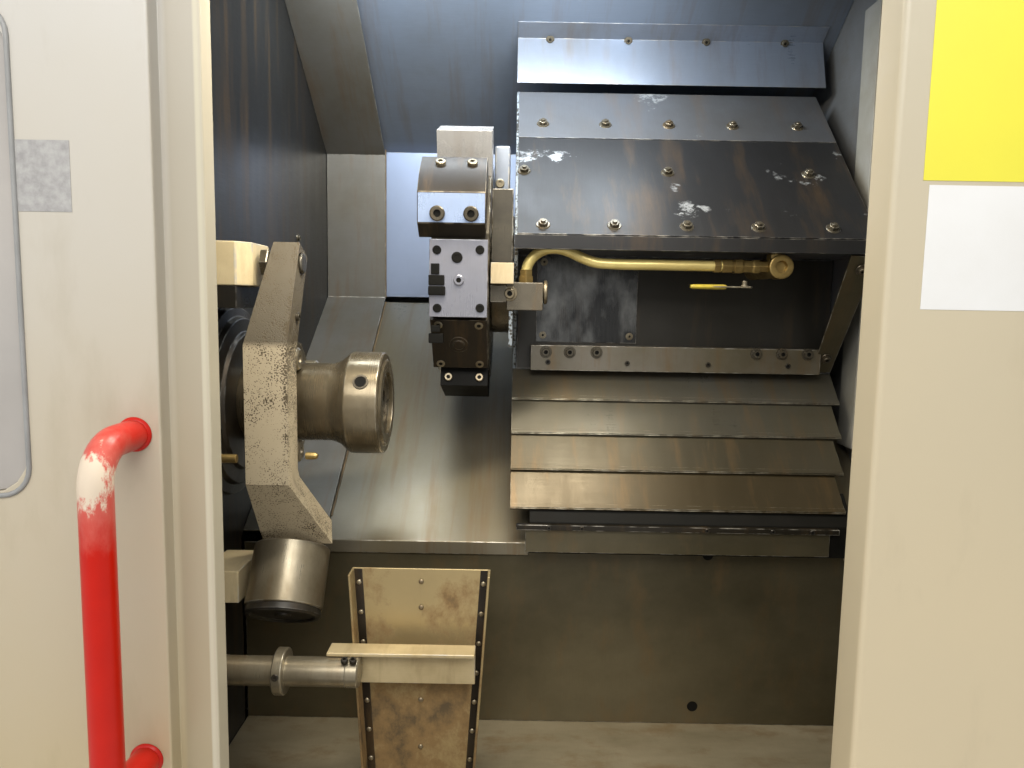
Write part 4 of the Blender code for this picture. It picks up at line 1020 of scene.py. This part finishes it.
# A thin sheet on the holder's lower bevel, coloured as a painted reflection of the roof.
bright = plate([station(144, x, out, side) + facing_out * 0.0003 for x, out, side in
                ((-0.0908, 0.0585, 0.0338), (-0.0908, 0.032, 0.0658), (0.0064, 0.032, 0.0658),
                 (0.0064, 0.0585, 0.0338))], 0.0004, 0)
on_turret("holder_painted_reflection", bright, "painted_roof_reflection")
places = [station(144, x, 0.0405, 0.0567) for x in (-0.0625, -0.0135)]
turret_screws("holder_big_screws", 0.0112, 0.006, places, facing_out, "oiled_steel")
places = [station(144, x, 0.0535, -0.03) for x in (-0.062, -0.0145)]
turret_screws("holder_small_screws", 0.0078, 0.005, places, outward(126), "worn_steel")
print("holder's screws face", [round(part, 2) for part in facing_out])

# %% [markdown]
# A stiff coolant pipe of yellow brass rises from a small steel block, bends over and runs to a ball
# valve. All of it rides on the cross slide. A smooth curve through twelve points follows the bend
# in the photo better than straight runs with round corners would.

# %% Coolant pipe
low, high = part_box("coolant_pipe")
pipe_y = (low.y + high.y) / 2
pipe_x, run_z = 0.069, axis_z + 0.2145
route = [(pipe_x + x, pipe_y, axis_z + z) for x, z in
         ((0, 0.1845), (0, 0.2), (0.0045, 0.215), (0.015, 0.2275), (0.03, 0.2355), (0.048, 0.2372),
          (0.067, 0.2325), (0.088, 0.2235), (0.108, 0.217), (0.133, 0.215), (0.2, 0.2147),
          (0.31, 0.2145))]
pipe = keep("coolant_pipe_bent", tube_mesh(route, 0.0083, 10), "pipe_brass", "cross_slide", 60)
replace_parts(pipe, "coolant_pipe")
print("pipe through", len(route), "points")

# %% [markdown]
# The ball valve is three turned parts: a body with hexagons and threads, the round elbow that
# points at us, and the bonnet on top. Six steps round a profile make a hexagon.

# %% Ball valve
valve_x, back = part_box("ball_valve")[0].x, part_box("ball_valve")[1].y - pipe_y
elbow_x = valve_x + 0.0885
body = [(0, 0), (0, 0.0115), (0.016, 0.0115), (0.016, 0.009), (0.019, 0.009), (0.019, 0.0122),
        (0.031, 0.0122), (0.033, 0.0105), (0.047, 0.0105), (0.049, 0.012), (0.058, 0.012), (0.058, 0.0095),
        (0.075, 0.0095), (0.075, 0)]
elbow = [(back, 0), (back, 0.0165), (0.012, 0.0165), (0.01, 0.019), (-0.0165, 0.019), (-0.0175, 0.0165),
         (-0.0175, 0.009), (-0.01, 0.008), (-0.01, 0)]
bonnet = [(0, 0), (0, 0.0135), (0.011, 0.0135), (0.011, 0.0105), (0.016, 0.0105), (0.016, 0)]
valve = join([spun(body, (valve_x, pipe_y, run_z), "X", 6, 0.0008),
              spun(elbow, (elbow_x, pipe_y, run_z), "Y", 32, 0.0008),
              spun(bonnet, (elbow_x - 0.005, pipe_y, run_z + 0.008), "Z", 8, 0.0006)])
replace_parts(on_slide("ball_valve_body", valve, "dull_brass"), "ball_valve")
print("valve from", round(valve_x, 4), "to", round(elbow_x, 4))

# %% [markdown]
# The lever is a thin steel blade on a stem, with a sleeve dipped in yellow plastic. The sleeve is
# a turned shape pressed flat, as dipping leaves it thicker than the blade but not round.

# %% Valve lever
low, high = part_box("valve_lever")
lever_z = low.z + 0.0085
stem_x, stem_top = valve_x + 0.0375, high.z - lever_z
outline = [(low.x + 0.004, -0.0055), (low.x, -0.002), (low.x, 0.002), (low.x + 0.004, 0.0055),
           (stem_x - 0.012, 0.0075), (stem_x + 0.008, 0.0075), (high.x, 0.003), (high.x, -0.003),
           (stem_x + 0.008, -0.0075), (stem_x - 0.012, -0.0075)]
blade = plate([Vector((x, pipe_y + y, lever_z - 0.0012)) for x, y in outline], -0.0026)
sleeve = spun([(0, 0), (0, 0.0042), (0.004, 0.0062), (0.052, 0.0066), (0.056, 0.005), (0.056, 0)],
              (low.x, pipe_y, lever_z), "X", 24, 0.0006)
bmesh.ops.scale(sleeve, vec=(1, 1, 0.62), space=Matrix.Translation((0, 0, -lever_z)), verts=sleeve.verts)
lever = keep("lever_sleeve", sleeve, "yellow_dip", "valve_lever")
stem = spun([(0, 0), (0, 0.0058), (0.004, 0.0058), (0.004, 0.004), (stem_top, 0.004), (stem_top, 0)],
            (stem_x, pipe_y, lever_z - 0.0006), "Z", 16, 0.0004)
keep("lever_blade", join([blade, stem]), "worn_steel", "valve_lever")
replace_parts(lever, "valve_lever")
print("lever from", round(low.x, 4), "stem at", round(stem_x, 4))

# %% [markdown]
# Nuts clamp the pipe, and two steel blocks with a turned spigot feed it. Behind them stand the
# plates of the turret's neck, each a plain block with its own finish.

# %% Unions, blocks and neck plates
unions = join([spun([(0, 0.0086), (0, 0.0125), (0.01, 0.0125), (0.01, 0.0108), (0.02, 0.0108),
                     (0.02, 0.0086)], (pipe_x, pipe_y, axis_z + 0.1838), "Z", 6, 0.0006, True),
               spun([(0, 0.0086), (0, 0.0112), (0.01, 0.0112), (0.01, 0.0086)],
                    (0.363, pipe_y, run_z), "X", 6, 0.0006, True)])
on_slide("pipe_unions", unions, "dull_brass")
front_block = block((0.0395, 0.053, 0.1405), (0.0955, 0.1025, 0.1835), 0.0018)
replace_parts(on_slide("coolant_block_main", front_block, "oiled_steel"), "coolant_block")
left_block = block((0.014, 0.0515, 0.1525), (0.0392, 0.1, 0.1785), 0.0012)
on_slide("coolant_block_left", left_block, "oiled_steel")
screws("coolant_block_screw", 0.0082, 0.005, [from_axis(0.044, 0.053, 0.166)], ahead, "worn_steel",
       "cross_slide", 0.0008)
spigot = [(0, 0), (0, 0.0125), (0.002, 0.0125), (0.002, 0.0185), (0.006, 0.0185), (0.0075, 0.017),
          (0.0075, 0.0125), (0.004, 0.0115), (0.004, 0)]
spigot = spun(spigot, from_axis(0.0952, 0.0745, 0.169), "X", 40, 0.0008)
on_slide("coolant_spigot", spigot, "worn_steel")
for name, low, high, width, finish, slot in (
        ("neck_plate", (0.0145, 0.066, 0.206), (0.0475, 0.08, 0.326), 0.0015, "neck_sheet", "bright"),
        ("neck_block", (0.015, 0.025, 0.18), (0.05, 0.0655, 0.2115), 0.0012, "cream_sheet", "bright"),
        ("cheek_flaking", (0.043, 0.056, 0.083), (0.049, 0.084, 0.139), 0.0008, "flaking", "dark_steel"),
        ("neck_upper_plate", (0.014, 0.185, 0.3), (0.041, 0.205, 0.415), 0.004, "pale_sheet", "bright")):
    on_slide(name, block(low, high, width), finish)
set_on("neck_upper_screw", lambda: cap_screw(0.0075, 0.004), [from_axis(0.024, 0.185, 0.352)], ahead,
       "worn_steel", "cross_slide")
print("pipe and valve dressed")

# %% [markdown]
# The chuck's details sit on the turned nose: the key socket on its cap, and four bosses on the
# flange behind it. The collet is split into three jaws by saw cuts.

# %% Chuck key socket, jaw slots and bosses
key_out = outward(150)
key_place = from_axis(nose_right - 0.0275, 0, 0) + key_out * 0.0748
ring = spun([(0, 0.0075), (0.0018, 0.0082), (0.0018, 0.0108), (-0.001, 0.0115), (-0.001, 0.0075)], steps=40,
            width=0, closed=True)
dish = spun([(0.0013, 0), (0.0013, 0.0076), (-0.001, 0.0076), (-0.001, 0)], steps=40, width=0)
for shape in (ring, dish):
    bmesh.ops.transform(shape, matrix=Matrix.Translation(key_place) @ turned_to(key_out), verts=shape.verts)
keep("key_socket_rim", ring, "oiled_steel", "spindle")
# The black dish in the socket is painted shade.
keep("key_socket_mouth", dish, "pit_black", "spindle")
# The collet's saw cuts are thin black strips on its face: painted shade in the cuts.
saw_cut = ((-0.0011, 0.0195), (0.0011, 0.0195), (0.0011, 0.0455), (-0.0011, 0.0455))
jaws = []
for third in range(3):
    jaws.append(plate([from_axis(collet_right + 0.0002, y, z) for y, z in saw_cut], 0.0004, 0))
    turn = Matrix.Rotation(third * math.tau / 3 + 0.5, 3, "X")
    bmesh.ops.rotate(jaws[-1], cent=from_axis(0, 0, 0), matrix=turn, verts=jaws[-1].verts)
keep("jaw_slots", join(jaws), "black_oxide", "spindle")
boss = [(0, 0), (0, 0.0165), (0.017, 0.0165), (0.02, 0.0135), (0.02, 0.006), (0.016, 0.005), (0.016, 0)]
bosses = [spun(boss, from_axis(flange_right, y, z), "X", 32, 0.0008) for y, z in
          ((-0.035, 0.066), (-0.035, -0.068), (0.064, 0.04), (0.064, -0.04))]
keep("flange_bosses", join(bosses), "worn_steel", "spindle")
print("nose cap dressed at", round(key_place.x, 4))

# %% [markdown]
# The hanging arm pivots on a pin through its bracket. A brass jet crosses behind it, and the cup
# on its end is a dished black pad in a brushed ring.

# %% Arm pin, brass jet and cup
low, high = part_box("arm_bracket")
arm_side, arm_back = -0.3125, -0.2975
outline = ((low.x, low.y), (arm_side, low.y), (arm_back, low.y + 0.022), (arm_back, high.y), (low.x, high.y))
upper = plate([Vector((x, y, high.z)) for x, y in outline], -0.0575, 0.0022)
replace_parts(keep("arm_bracket_skin", upper, "pale_cream", "frame"), "arm_bracket")
foot = block((low.x, low.y - axis_y + 0.001, low.z - axis_z),
             (arm_side, high.y - axis_y, high.z - axis_z - 0.0577), 0.0015)
keep("arm_bracket_foot", foot, "black_oxide", "frame")
pin_left, pin_right = from_axis(-0.2915, -0.079, 0.2), from_axis(-0.2392, -0.079, 0.2)
pin_nut = join([spun([(0, 0), (0, 0.0195), (0.01, 0.0195), (0.012, 0.017), (0.012, 0)], pin_left, "X", 6),
                spun([(0.012, 0), (0.012, 0.0148), (0.034, 0.0148), (0.034, 0)], pin_left, "X", 32, 0.0008),
                spun([(0, 0), (0, 0.0135), (0.003, 0.0135), (0.004, 0.012), (0.004, 0)], pin_right, "X", 32,
                     0.0006)])
keep("arm_pin_nut", pin_nut, "oiled_steel", "frame")
screws("arm_side_screw", 0.0055, 0.004, [from_axis(-0.2393, -0.105, 0.128)], (1, 0, 0), "oiled_steel",
       "setting_arm")
lean = math.radians(34)
cup_axis = Vector((0, -math.sin(lean), -math.cos(lean)))
across = Vector((0, math.cos(lean), -math.sin(lean)))
cup_top = from_axis(-0.2595, -0.085, -0.19) + cup_axis * 0.0003 + across * 0.02
cup_turn = Vector((1, 0, 0)).rotation_difference(cup_axis).to_matrix().to_4x4()
cup_profile = [(0, 0), (0, 0.05), (0.0025, 0.0525), (0.0845, 0.0525), (0.086, 0.051), (0.086, 0)]
cup = spun(cup_profile, cup_top, width=0.0006, lean=cup_turn)
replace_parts(keep("arm_cup_body", cup, "worn_steel", "setting_arm"), "arm_cup")
pad = spun([(0.0862, 0), (0.0862, 0.0505), (0.094, 0.0515), (0.0968, 0.049), (0.0968, 0.044),
            (0.0935, 0.042), (0.0935, 0.012), (0.0965, 0.01), (0.0965, 0)], cup_top, steps=64,
           width=0.0004, lean=cup_turn)
keep("cup_pad", pad, "black_oxide", "setting_arm")
jet = join([spun([(0, 0), (0, 0.0058), (0.066, 0.0058), (0.066, 0)],
                 from_axis(-0.3695, -0.158, -0.0545), "X", 32, 0.0008),
            spun([(0, 0), (0, 0.0048), (0.012, 0.0048), (0.016, 0.003), (0.016, 0)],
                 from_axis(-0.2228, -0.128, -0.0555), "X", 24, 0.0006)])
keep("brass_jet", jet, "dull_brass", "frame")
print("cup top", [round(part, 3) for part in cup_top])

# %% [markdown]
# The parts catcher is a tray on a turning shaft. The shaft is one long turned profile, with a
# clamp collar and a slightly thinner middle, and the tray's strap is screwed to its end.

# %% Catcher shaft
shaft_axis = from_axis(0, -0.17, -0.335)
low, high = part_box("catcher_shaft")
shaft_profile = [(high.x, 0), (high.x, 0.0175), (high.x - 0.002, 0.0195), (-0.16, 0.0195),
                 (-0.1605, 0.0188), (-0.239, 0.0188), (-0.239, 0.0285), (-0.2405, 0.03), (-0.2515, 0.03),
                 (-0.253, 0.0285), (-0.253, 0.0188), (-0.318, 0.0188), (-0.3185, 0.0195), (low.x, 0.0195),
                 (low.x, 0)]
shaft = spun(shaft_profile, shaft_axis, "X", 64, 0.0005)
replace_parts(keep("catcher_shaft_turned", shaft, "worn_steel", "catcher"), "catcher_shaft")
collar_screw = [shaft_axis + Vector((-0.246, -0.029, 0.006))]
set_on("collar_screw", lambda: cap_screw(0.0045, 0.003), collar_screw, (0, -1, 0.2), "black_oxide",
       "catcher")
end_screws = [shaft_axis + Vector((x, -0.0115, 0.0195)) for x in (-0.161, -0.15)]
set_on("shaft_end_screws", lambda: cap_screw(0.0046, 0.005), end_screws, (0, -0.3, 1), "black_oxide",
       "catcher")
print("shaft axis", [round(part, 3) for part in shaft_axis])

# %% [markdown]
# The tray widens upwards, so its rails lean. A small function gives the edge's X at any height,
# and rails and rivets both follow it.

# %% Tray rails, rib and rivets
low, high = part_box("catcher_tray")
tray_back = high.y - 0.0031
top_z, foot_z = high.z, low.z


def tray_x(side, z, inset):
    """X of the tray's edge at a height, moved inwards; side is 0 on the left and 1 on the right."""
    fall = (top_z - z) / (top_z - foot_z) * 0.018
    return low.x + fall + inset if side == 0 else high.x - fall - inset


rails, heads = [], []
for side, order, thickness in ((0, -1, 0.0014), (1, 1, -0.0014)):
    outline = [Vector((tray_x(side, z, inset), tray_back, z)) for z, inset in
               ((foot_z, 0.003), (top_z - 0.001, 0.003), (top_z - 0.001, 0.014), (foot_z, 0.014))]
    rails.append(plate(outline[::order], thickness, 0.0004))
    heads += [Vector((tray_x(side, z, 0.0085), tray_back - 0.0012, z)) for z in
              (top_z - 0.02 - step * 0.043 for step in range(7))]
middle = (low.x + high.x) / 2
rib = plate([Vector((middle + x, tray_back, z)) for x, z in
             ((-0.0018, foot_z), (-0.0018, top_z - 0.004), (0.0018, top_z - 0.004), (0.0018, foot_z))],
            0.0012, 0.0004)
heads += [Vector((middle, tray_back - 0.001, top_z - down)) for down in (0.018, 0.055, 0.19, 0.26)]
keep("tray_rails", join(rails), "brown_steel", "catcher")
keep("tray_rib", rib, "tray_steel", "catcher")
set_on("tray_rivets", lambda: rivet(0.0036, 0.0018), heads, ahead, "worn_steel", "catcher")
print("tray rivets:", len(heads))

# %% [markdown]
# On the painted front, the window sits in a grey seal, and thin sheets mark where plates and
# labels are. They are plain fields of colour.

# %% Door window, fields and seals
low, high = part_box("door_window")
gap, corner = 0.002, 0.028
ring = [(low.x - gap, low.z - gap), (high.x + gap, low.z - gap), (high.x + gap, high.z + gap),
        (low.x - gap, high.z + gap)]
path = []
for (x, z), (dx, dz), start in zip(ring, ((1, 1), (-1, 1), (-1, -1), (1, -1)), (180, 270, 0, 90)):
    for turn in (math.radians(start + step) for step in range(0, 91, 15)):
        path.append((x + dx * corner + corner * math.cos(turn), front_y - 0.0005,
                     z + dz * corner + corner * math.sin(turn)))
keep("window_seal", tube_mesh(path, 0.0024, 4, True, False), "seal_grey", "door", 60)
for name, left, right, low, high, finish, body, slot in (
        ("door_grey_field", -0.414, -0.36, 0.228, 0.2925, "field_grey", "door", "paint_white"),
        ("panel_yellow_field", 0.425, 0.575, 0.27, 0.52, "field_yellow", "frame", "yellow"),
        ("panel_white_field", 0.431, 0.58, 0.152, 0.266, "field_white", "frame", "paint_white")):
    corners = [Vector((x, front_y - 0.00005, axis_z + z)) for x, z in
               ((left, low), (right, low), (right, high), (left, high))]
    keep(name, plate(corners, 0.0004, 0), finish, body)
wall_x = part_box("right_wall")[0].x
# The strip on the right wall is a light grey bar, made lighter still as painted light.
strip = block((wall_x - 0.012, 0.165, -0.09), (wall_x - 0.0002, 0.222, 0.655), 0.0015)
keep("right_wall_strip", strip, "wall_strip", "frame")
print("wall at", round(wall_x, 3), "seal points:", len(path))

# %% [markdown]
# Sheets inside are joined with thin beads of brown sealant. They run down the corners, so each
# one follows the sheets' own corner points.

# %% Sealant beads and wall screws
edge_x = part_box("corner_liner")[1].x + 0.0005
for name, radius, route in (("slope_bead", 0.0016, ((0.075, -0.1965), (0.3, -0.0475), (0.5935, 0.1485))),
                            ("wall_bead", 0.0014, ((0.5935, 0.16), (0.5935, 0.485)))):
    bead = tube_mesh([from_axis(edge_x, y, z) for y, z in route], radius, 3, False, False)
    keep(name, bead, "sealant", "frame", 60)
wall_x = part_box("left_wall")[1].x
places = [from_axis(wall_x, y, z) for y, z in ((0.36, 0.27), (0.36, 0.06), (-0.12, -0.165), (0.005, -0.27))]
set_on("wall_screws", lambda: cap_screw(0.0055, 0.004, 0.001), places, (1, 0, 0), "oiled_steel", "frame")
pan_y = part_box("pan_back")[0].y
places = [Vector((x, pan_y, axis_z + z)) for x, z in ((0.365, -0.24), (0.351, -0.493))]
# Black dishes paint the shade of two holes in the pan's back.
set_on("pan_back_holes", lambda: hole_disc(0.0085), places, ahead, "pit_black", "frame")
print("beads and screws set")

# %% [markdown]
# Outside the photo, the machine is finished plainly. The control box gets a screen, rows of keys,
# a knob and two buttons, all without lettering, as rounded blocks and turned caps.

# %% Control box
box_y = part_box("control_box")[0].y


def slab(low, high, width):
    """A rounded block given in the object's own coordinates."""
    low, high = ((x, y - axis_y, z - axis_z) for x, y, z in (low, high))
    return block(low, high, width)


bezel = slab((0.645, box_y - 0.006, 1.3), (0.895, box_y, 1.515), 0.003)
keep("screen_bezel", bezel, "rubber_seal", "frame")
glass = slab((0.665, box_y - 0.0072, 1.322), (0.875, box_y - 0.0055, 1.495), 0.0006)
keep("screen_glass", glass, "screen_black", "frame")
keys = [slab((0.645 + 0.027 * column, box_y - 0.004, 1.075 + 0.027 * row),
             (0.666 + 0.027 * column, box_y, 1.096 + 0.027 * row), 0.0012)
        for column in range(6) for row in range(6)]
keys += [slab((0.672 + 0.035 * column, box_y - 0.004, 1.274),
              (0.695 + 0.035 * column, box_y, 1.288), 0.0012) for column in range(6)]
keep("control_keys", join(keys), "key_grey", "frame")
knob = join([spun([(0, 0), (0, 0.021), (-0.01, 0.02), (-0.014, 0.017), (-0.014, 0)],
                  (0.868, box_y, 1.235), "Y", 40, 0.0006),
             slab((0.866, box_y - 0.0165, 1.238), (0.87, box_y - 0.012, 1.254), 0.0004)])
keep("control_knob", knob, "rubber_seal", "frame")
cap = [(0, 0), (0, 0.01), (-0.006, 0.0098), (-0.008, 0.008), (-0.008, 0)]
buttons = [spun(cap, (x, box_y, 1.086), "Y", 32, 0.0004) for x in (0.836, 0.904)]
keep("control_buttons", join(buttons), "field_white", "frame")
print("keys:", len(keys), "box front at", round(box_y, 3))

# %% [markdown]
# The back of a machine is for fitters: a vent of slats for the motor's heat, a screwed cover, and
# the electrical cabinet's hinges.

# %% Vent, rear cover and hinges
back_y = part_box("back_panel")[1].y
slats = [slab((-0.94, back_y, 0.5 + 0.03 * row), (-0.62, back_y + 0.009, 0.518 + 0.03 * row), 0.003)
         for row in range(12)]
keep("rear_vent", join(slats), "shell_paint", "frame")
cover = slab((0.62, back_y, 0.45), (0.94, back_y + 0.003, 1.05), 0.001)
keep("rear_cover", cover, "shell_paint", "frame")
places = [Vector((x, back_y + 0.003, z)) for x in (0.635, 0.925) for z in (0.465, 0.75, 1.035)]
set_on("rear_cover_screws", lambda: cap_screw(0.007, 0.005, 0.001), places, (0, 1, 0), "oiled_steel",
       "frame")
side_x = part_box("electrical_cabinet")[1].x
hinges = [spun([(0, 0), (0, 0.008), (0.07, 0.008), (0.07, 0)], (side_x + 0.0075, 0.697, z), "Z", 24)
          for z in (0.45, 0.86, 1.27)]
keep("cabinet_hinges", join(hinges), "oiled_steel", "frame")
print("slats:", len(slats), "hinges:", len(hinges))

# %% [markdown]
# The stop button's red cap has a rounded rim and a slightly sunk neck. It is turned in one piece,
# because the whole button moves when it is pushed.

# %% Stop button
low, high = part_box("stop_button")
head = high.y - low.y - 0.0005
button = spun([(-0.0005, 0), (-0.0005, 0.0077), (-0.0245, 0.0077), (-0.0249, 0.0185), (-0.0268, 0.02),
               (-0.034, 0.02), (0.003 - head, 0.0185), (0.0008 - head, 0.0145), (-head, 0.008), (-head, 0)],
              ((low.x + high.x) / 2, high.y, (low.z + high.z) / 2), "Y", 64, 0.0005)
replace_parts(keep("stop_button_turned", button, "button_red", "stop_button", 40), "stop_button")
print("button stands out", round(head, 4))

# %% [markdown]
# Light: two soft panels over the aisle, a fill from the left and one from behind, the machine's
# own tube lamp under its roof, and a short warm one in the door's header. The world looks whiter
# to the camera and in reflections than it lights.

# %% Lamps, floor and world


def area(name, place, target, width, height, power, colour=(1, 1, 1)):
    """A rectangular lamp at a place, aimed at a target."""
    lamp = bpy.data.lights.new(name, "AREA")
    lamp.shape, lamp.size, lamp.size_y, lamp.energy, lamp.color = "RECTANGLE", width, height, power, colour
    item = bpy.data.objects.new(name, lamp)
    bpy.context.scene.collection.objects.link(item)
    item.location = place
    item.rotation_euler = (Vector(target) - Vector(place)).to_track_quat("-Z", "Y").to_euler()


area("aisle_panel", (-0.3, front_y - 2.6, 3.2), (0.0, 0.0, 1.0), 3.2, 1.6, 62, (1.0, 0.985, 0.96))
area("door_panel", (0.15, front_y - 1.1, 2.25), (0.12, 0.0, 1.05), 1.7, 0.8, 17, (1.0, 0.98, 0.95))
area("left_fill", (-3.4, -2.6, 1.8), (0, 0, 1.0), 2.0, 2.4, 22, (0.93, 0.96, 1.0))
area("back_fill", (1.5, 3.6, 2.6), (0, 0, 1.0), 2.6, 2.0, 45)
area("work_lamp", (0.0, axis_y + 0.14, axis_z + 0.685), (0.02, axis_y + 0.52, axis_z + 0.1),
     0.62, 0.1, 5.5, (0.8, 0.9, 1.0))
area("header_lamp", (0.05, front_y + 0.175, axis_z + 0.65), (-0.05, axis_y, axis_z - 0.25),
     0.6, 0.07, 8.5, (1.0, 0.93, 0.8))

world = bpy.data.worlds.new("studio")
bpy.context.scene.world = world
world.use_nodes = True
tree = world.node_tree
background = tree.nodes["Background"]
rays = Wire(tree, tree.nodes.new("ShaderNodeLightPath").outputs["Is Camera Ray"])
glossy = Wire(tree, tree.nodes["Light Path"].outputs["Is Glossy Ray"])
clear = Wire(tree, tree.nodes["Light Path"].outputs["Is Transmission Ray"])
shown = (rays + glossy + clear).clamped()
tree.links.new((shown * 0.52 + 0.43).socket, background.inputs["Strength"])
background.inputs["Color"].default_value = (0.97, 0.98, 1.0, 1)

floor_shape = bmesh.new()
bmesh.ops.create_grid(floor_shape, x_segments=1, y_segments=1, size=12)
floor_mesh = bpy.data.meshes.new("floor")
floor_shape.to_mesh(floor_mesh)
floor_shape.free()
floor = bpy.data.objects.new("floor", floor_mesh)
bpy.context.scene.collection.objects.link(floor)
floor_shader, floor_where = new_finish("pale_floor")
plug(floor_shader, blend(noise(floor_where, 1.5), (0.8, 0.79, 0.77), (0.76, 0.75, 0.73)), 0.6)
floor_mesh.materials.append(finishes["pale_floor"])
print("lamps:", len(bpy.data.lights))
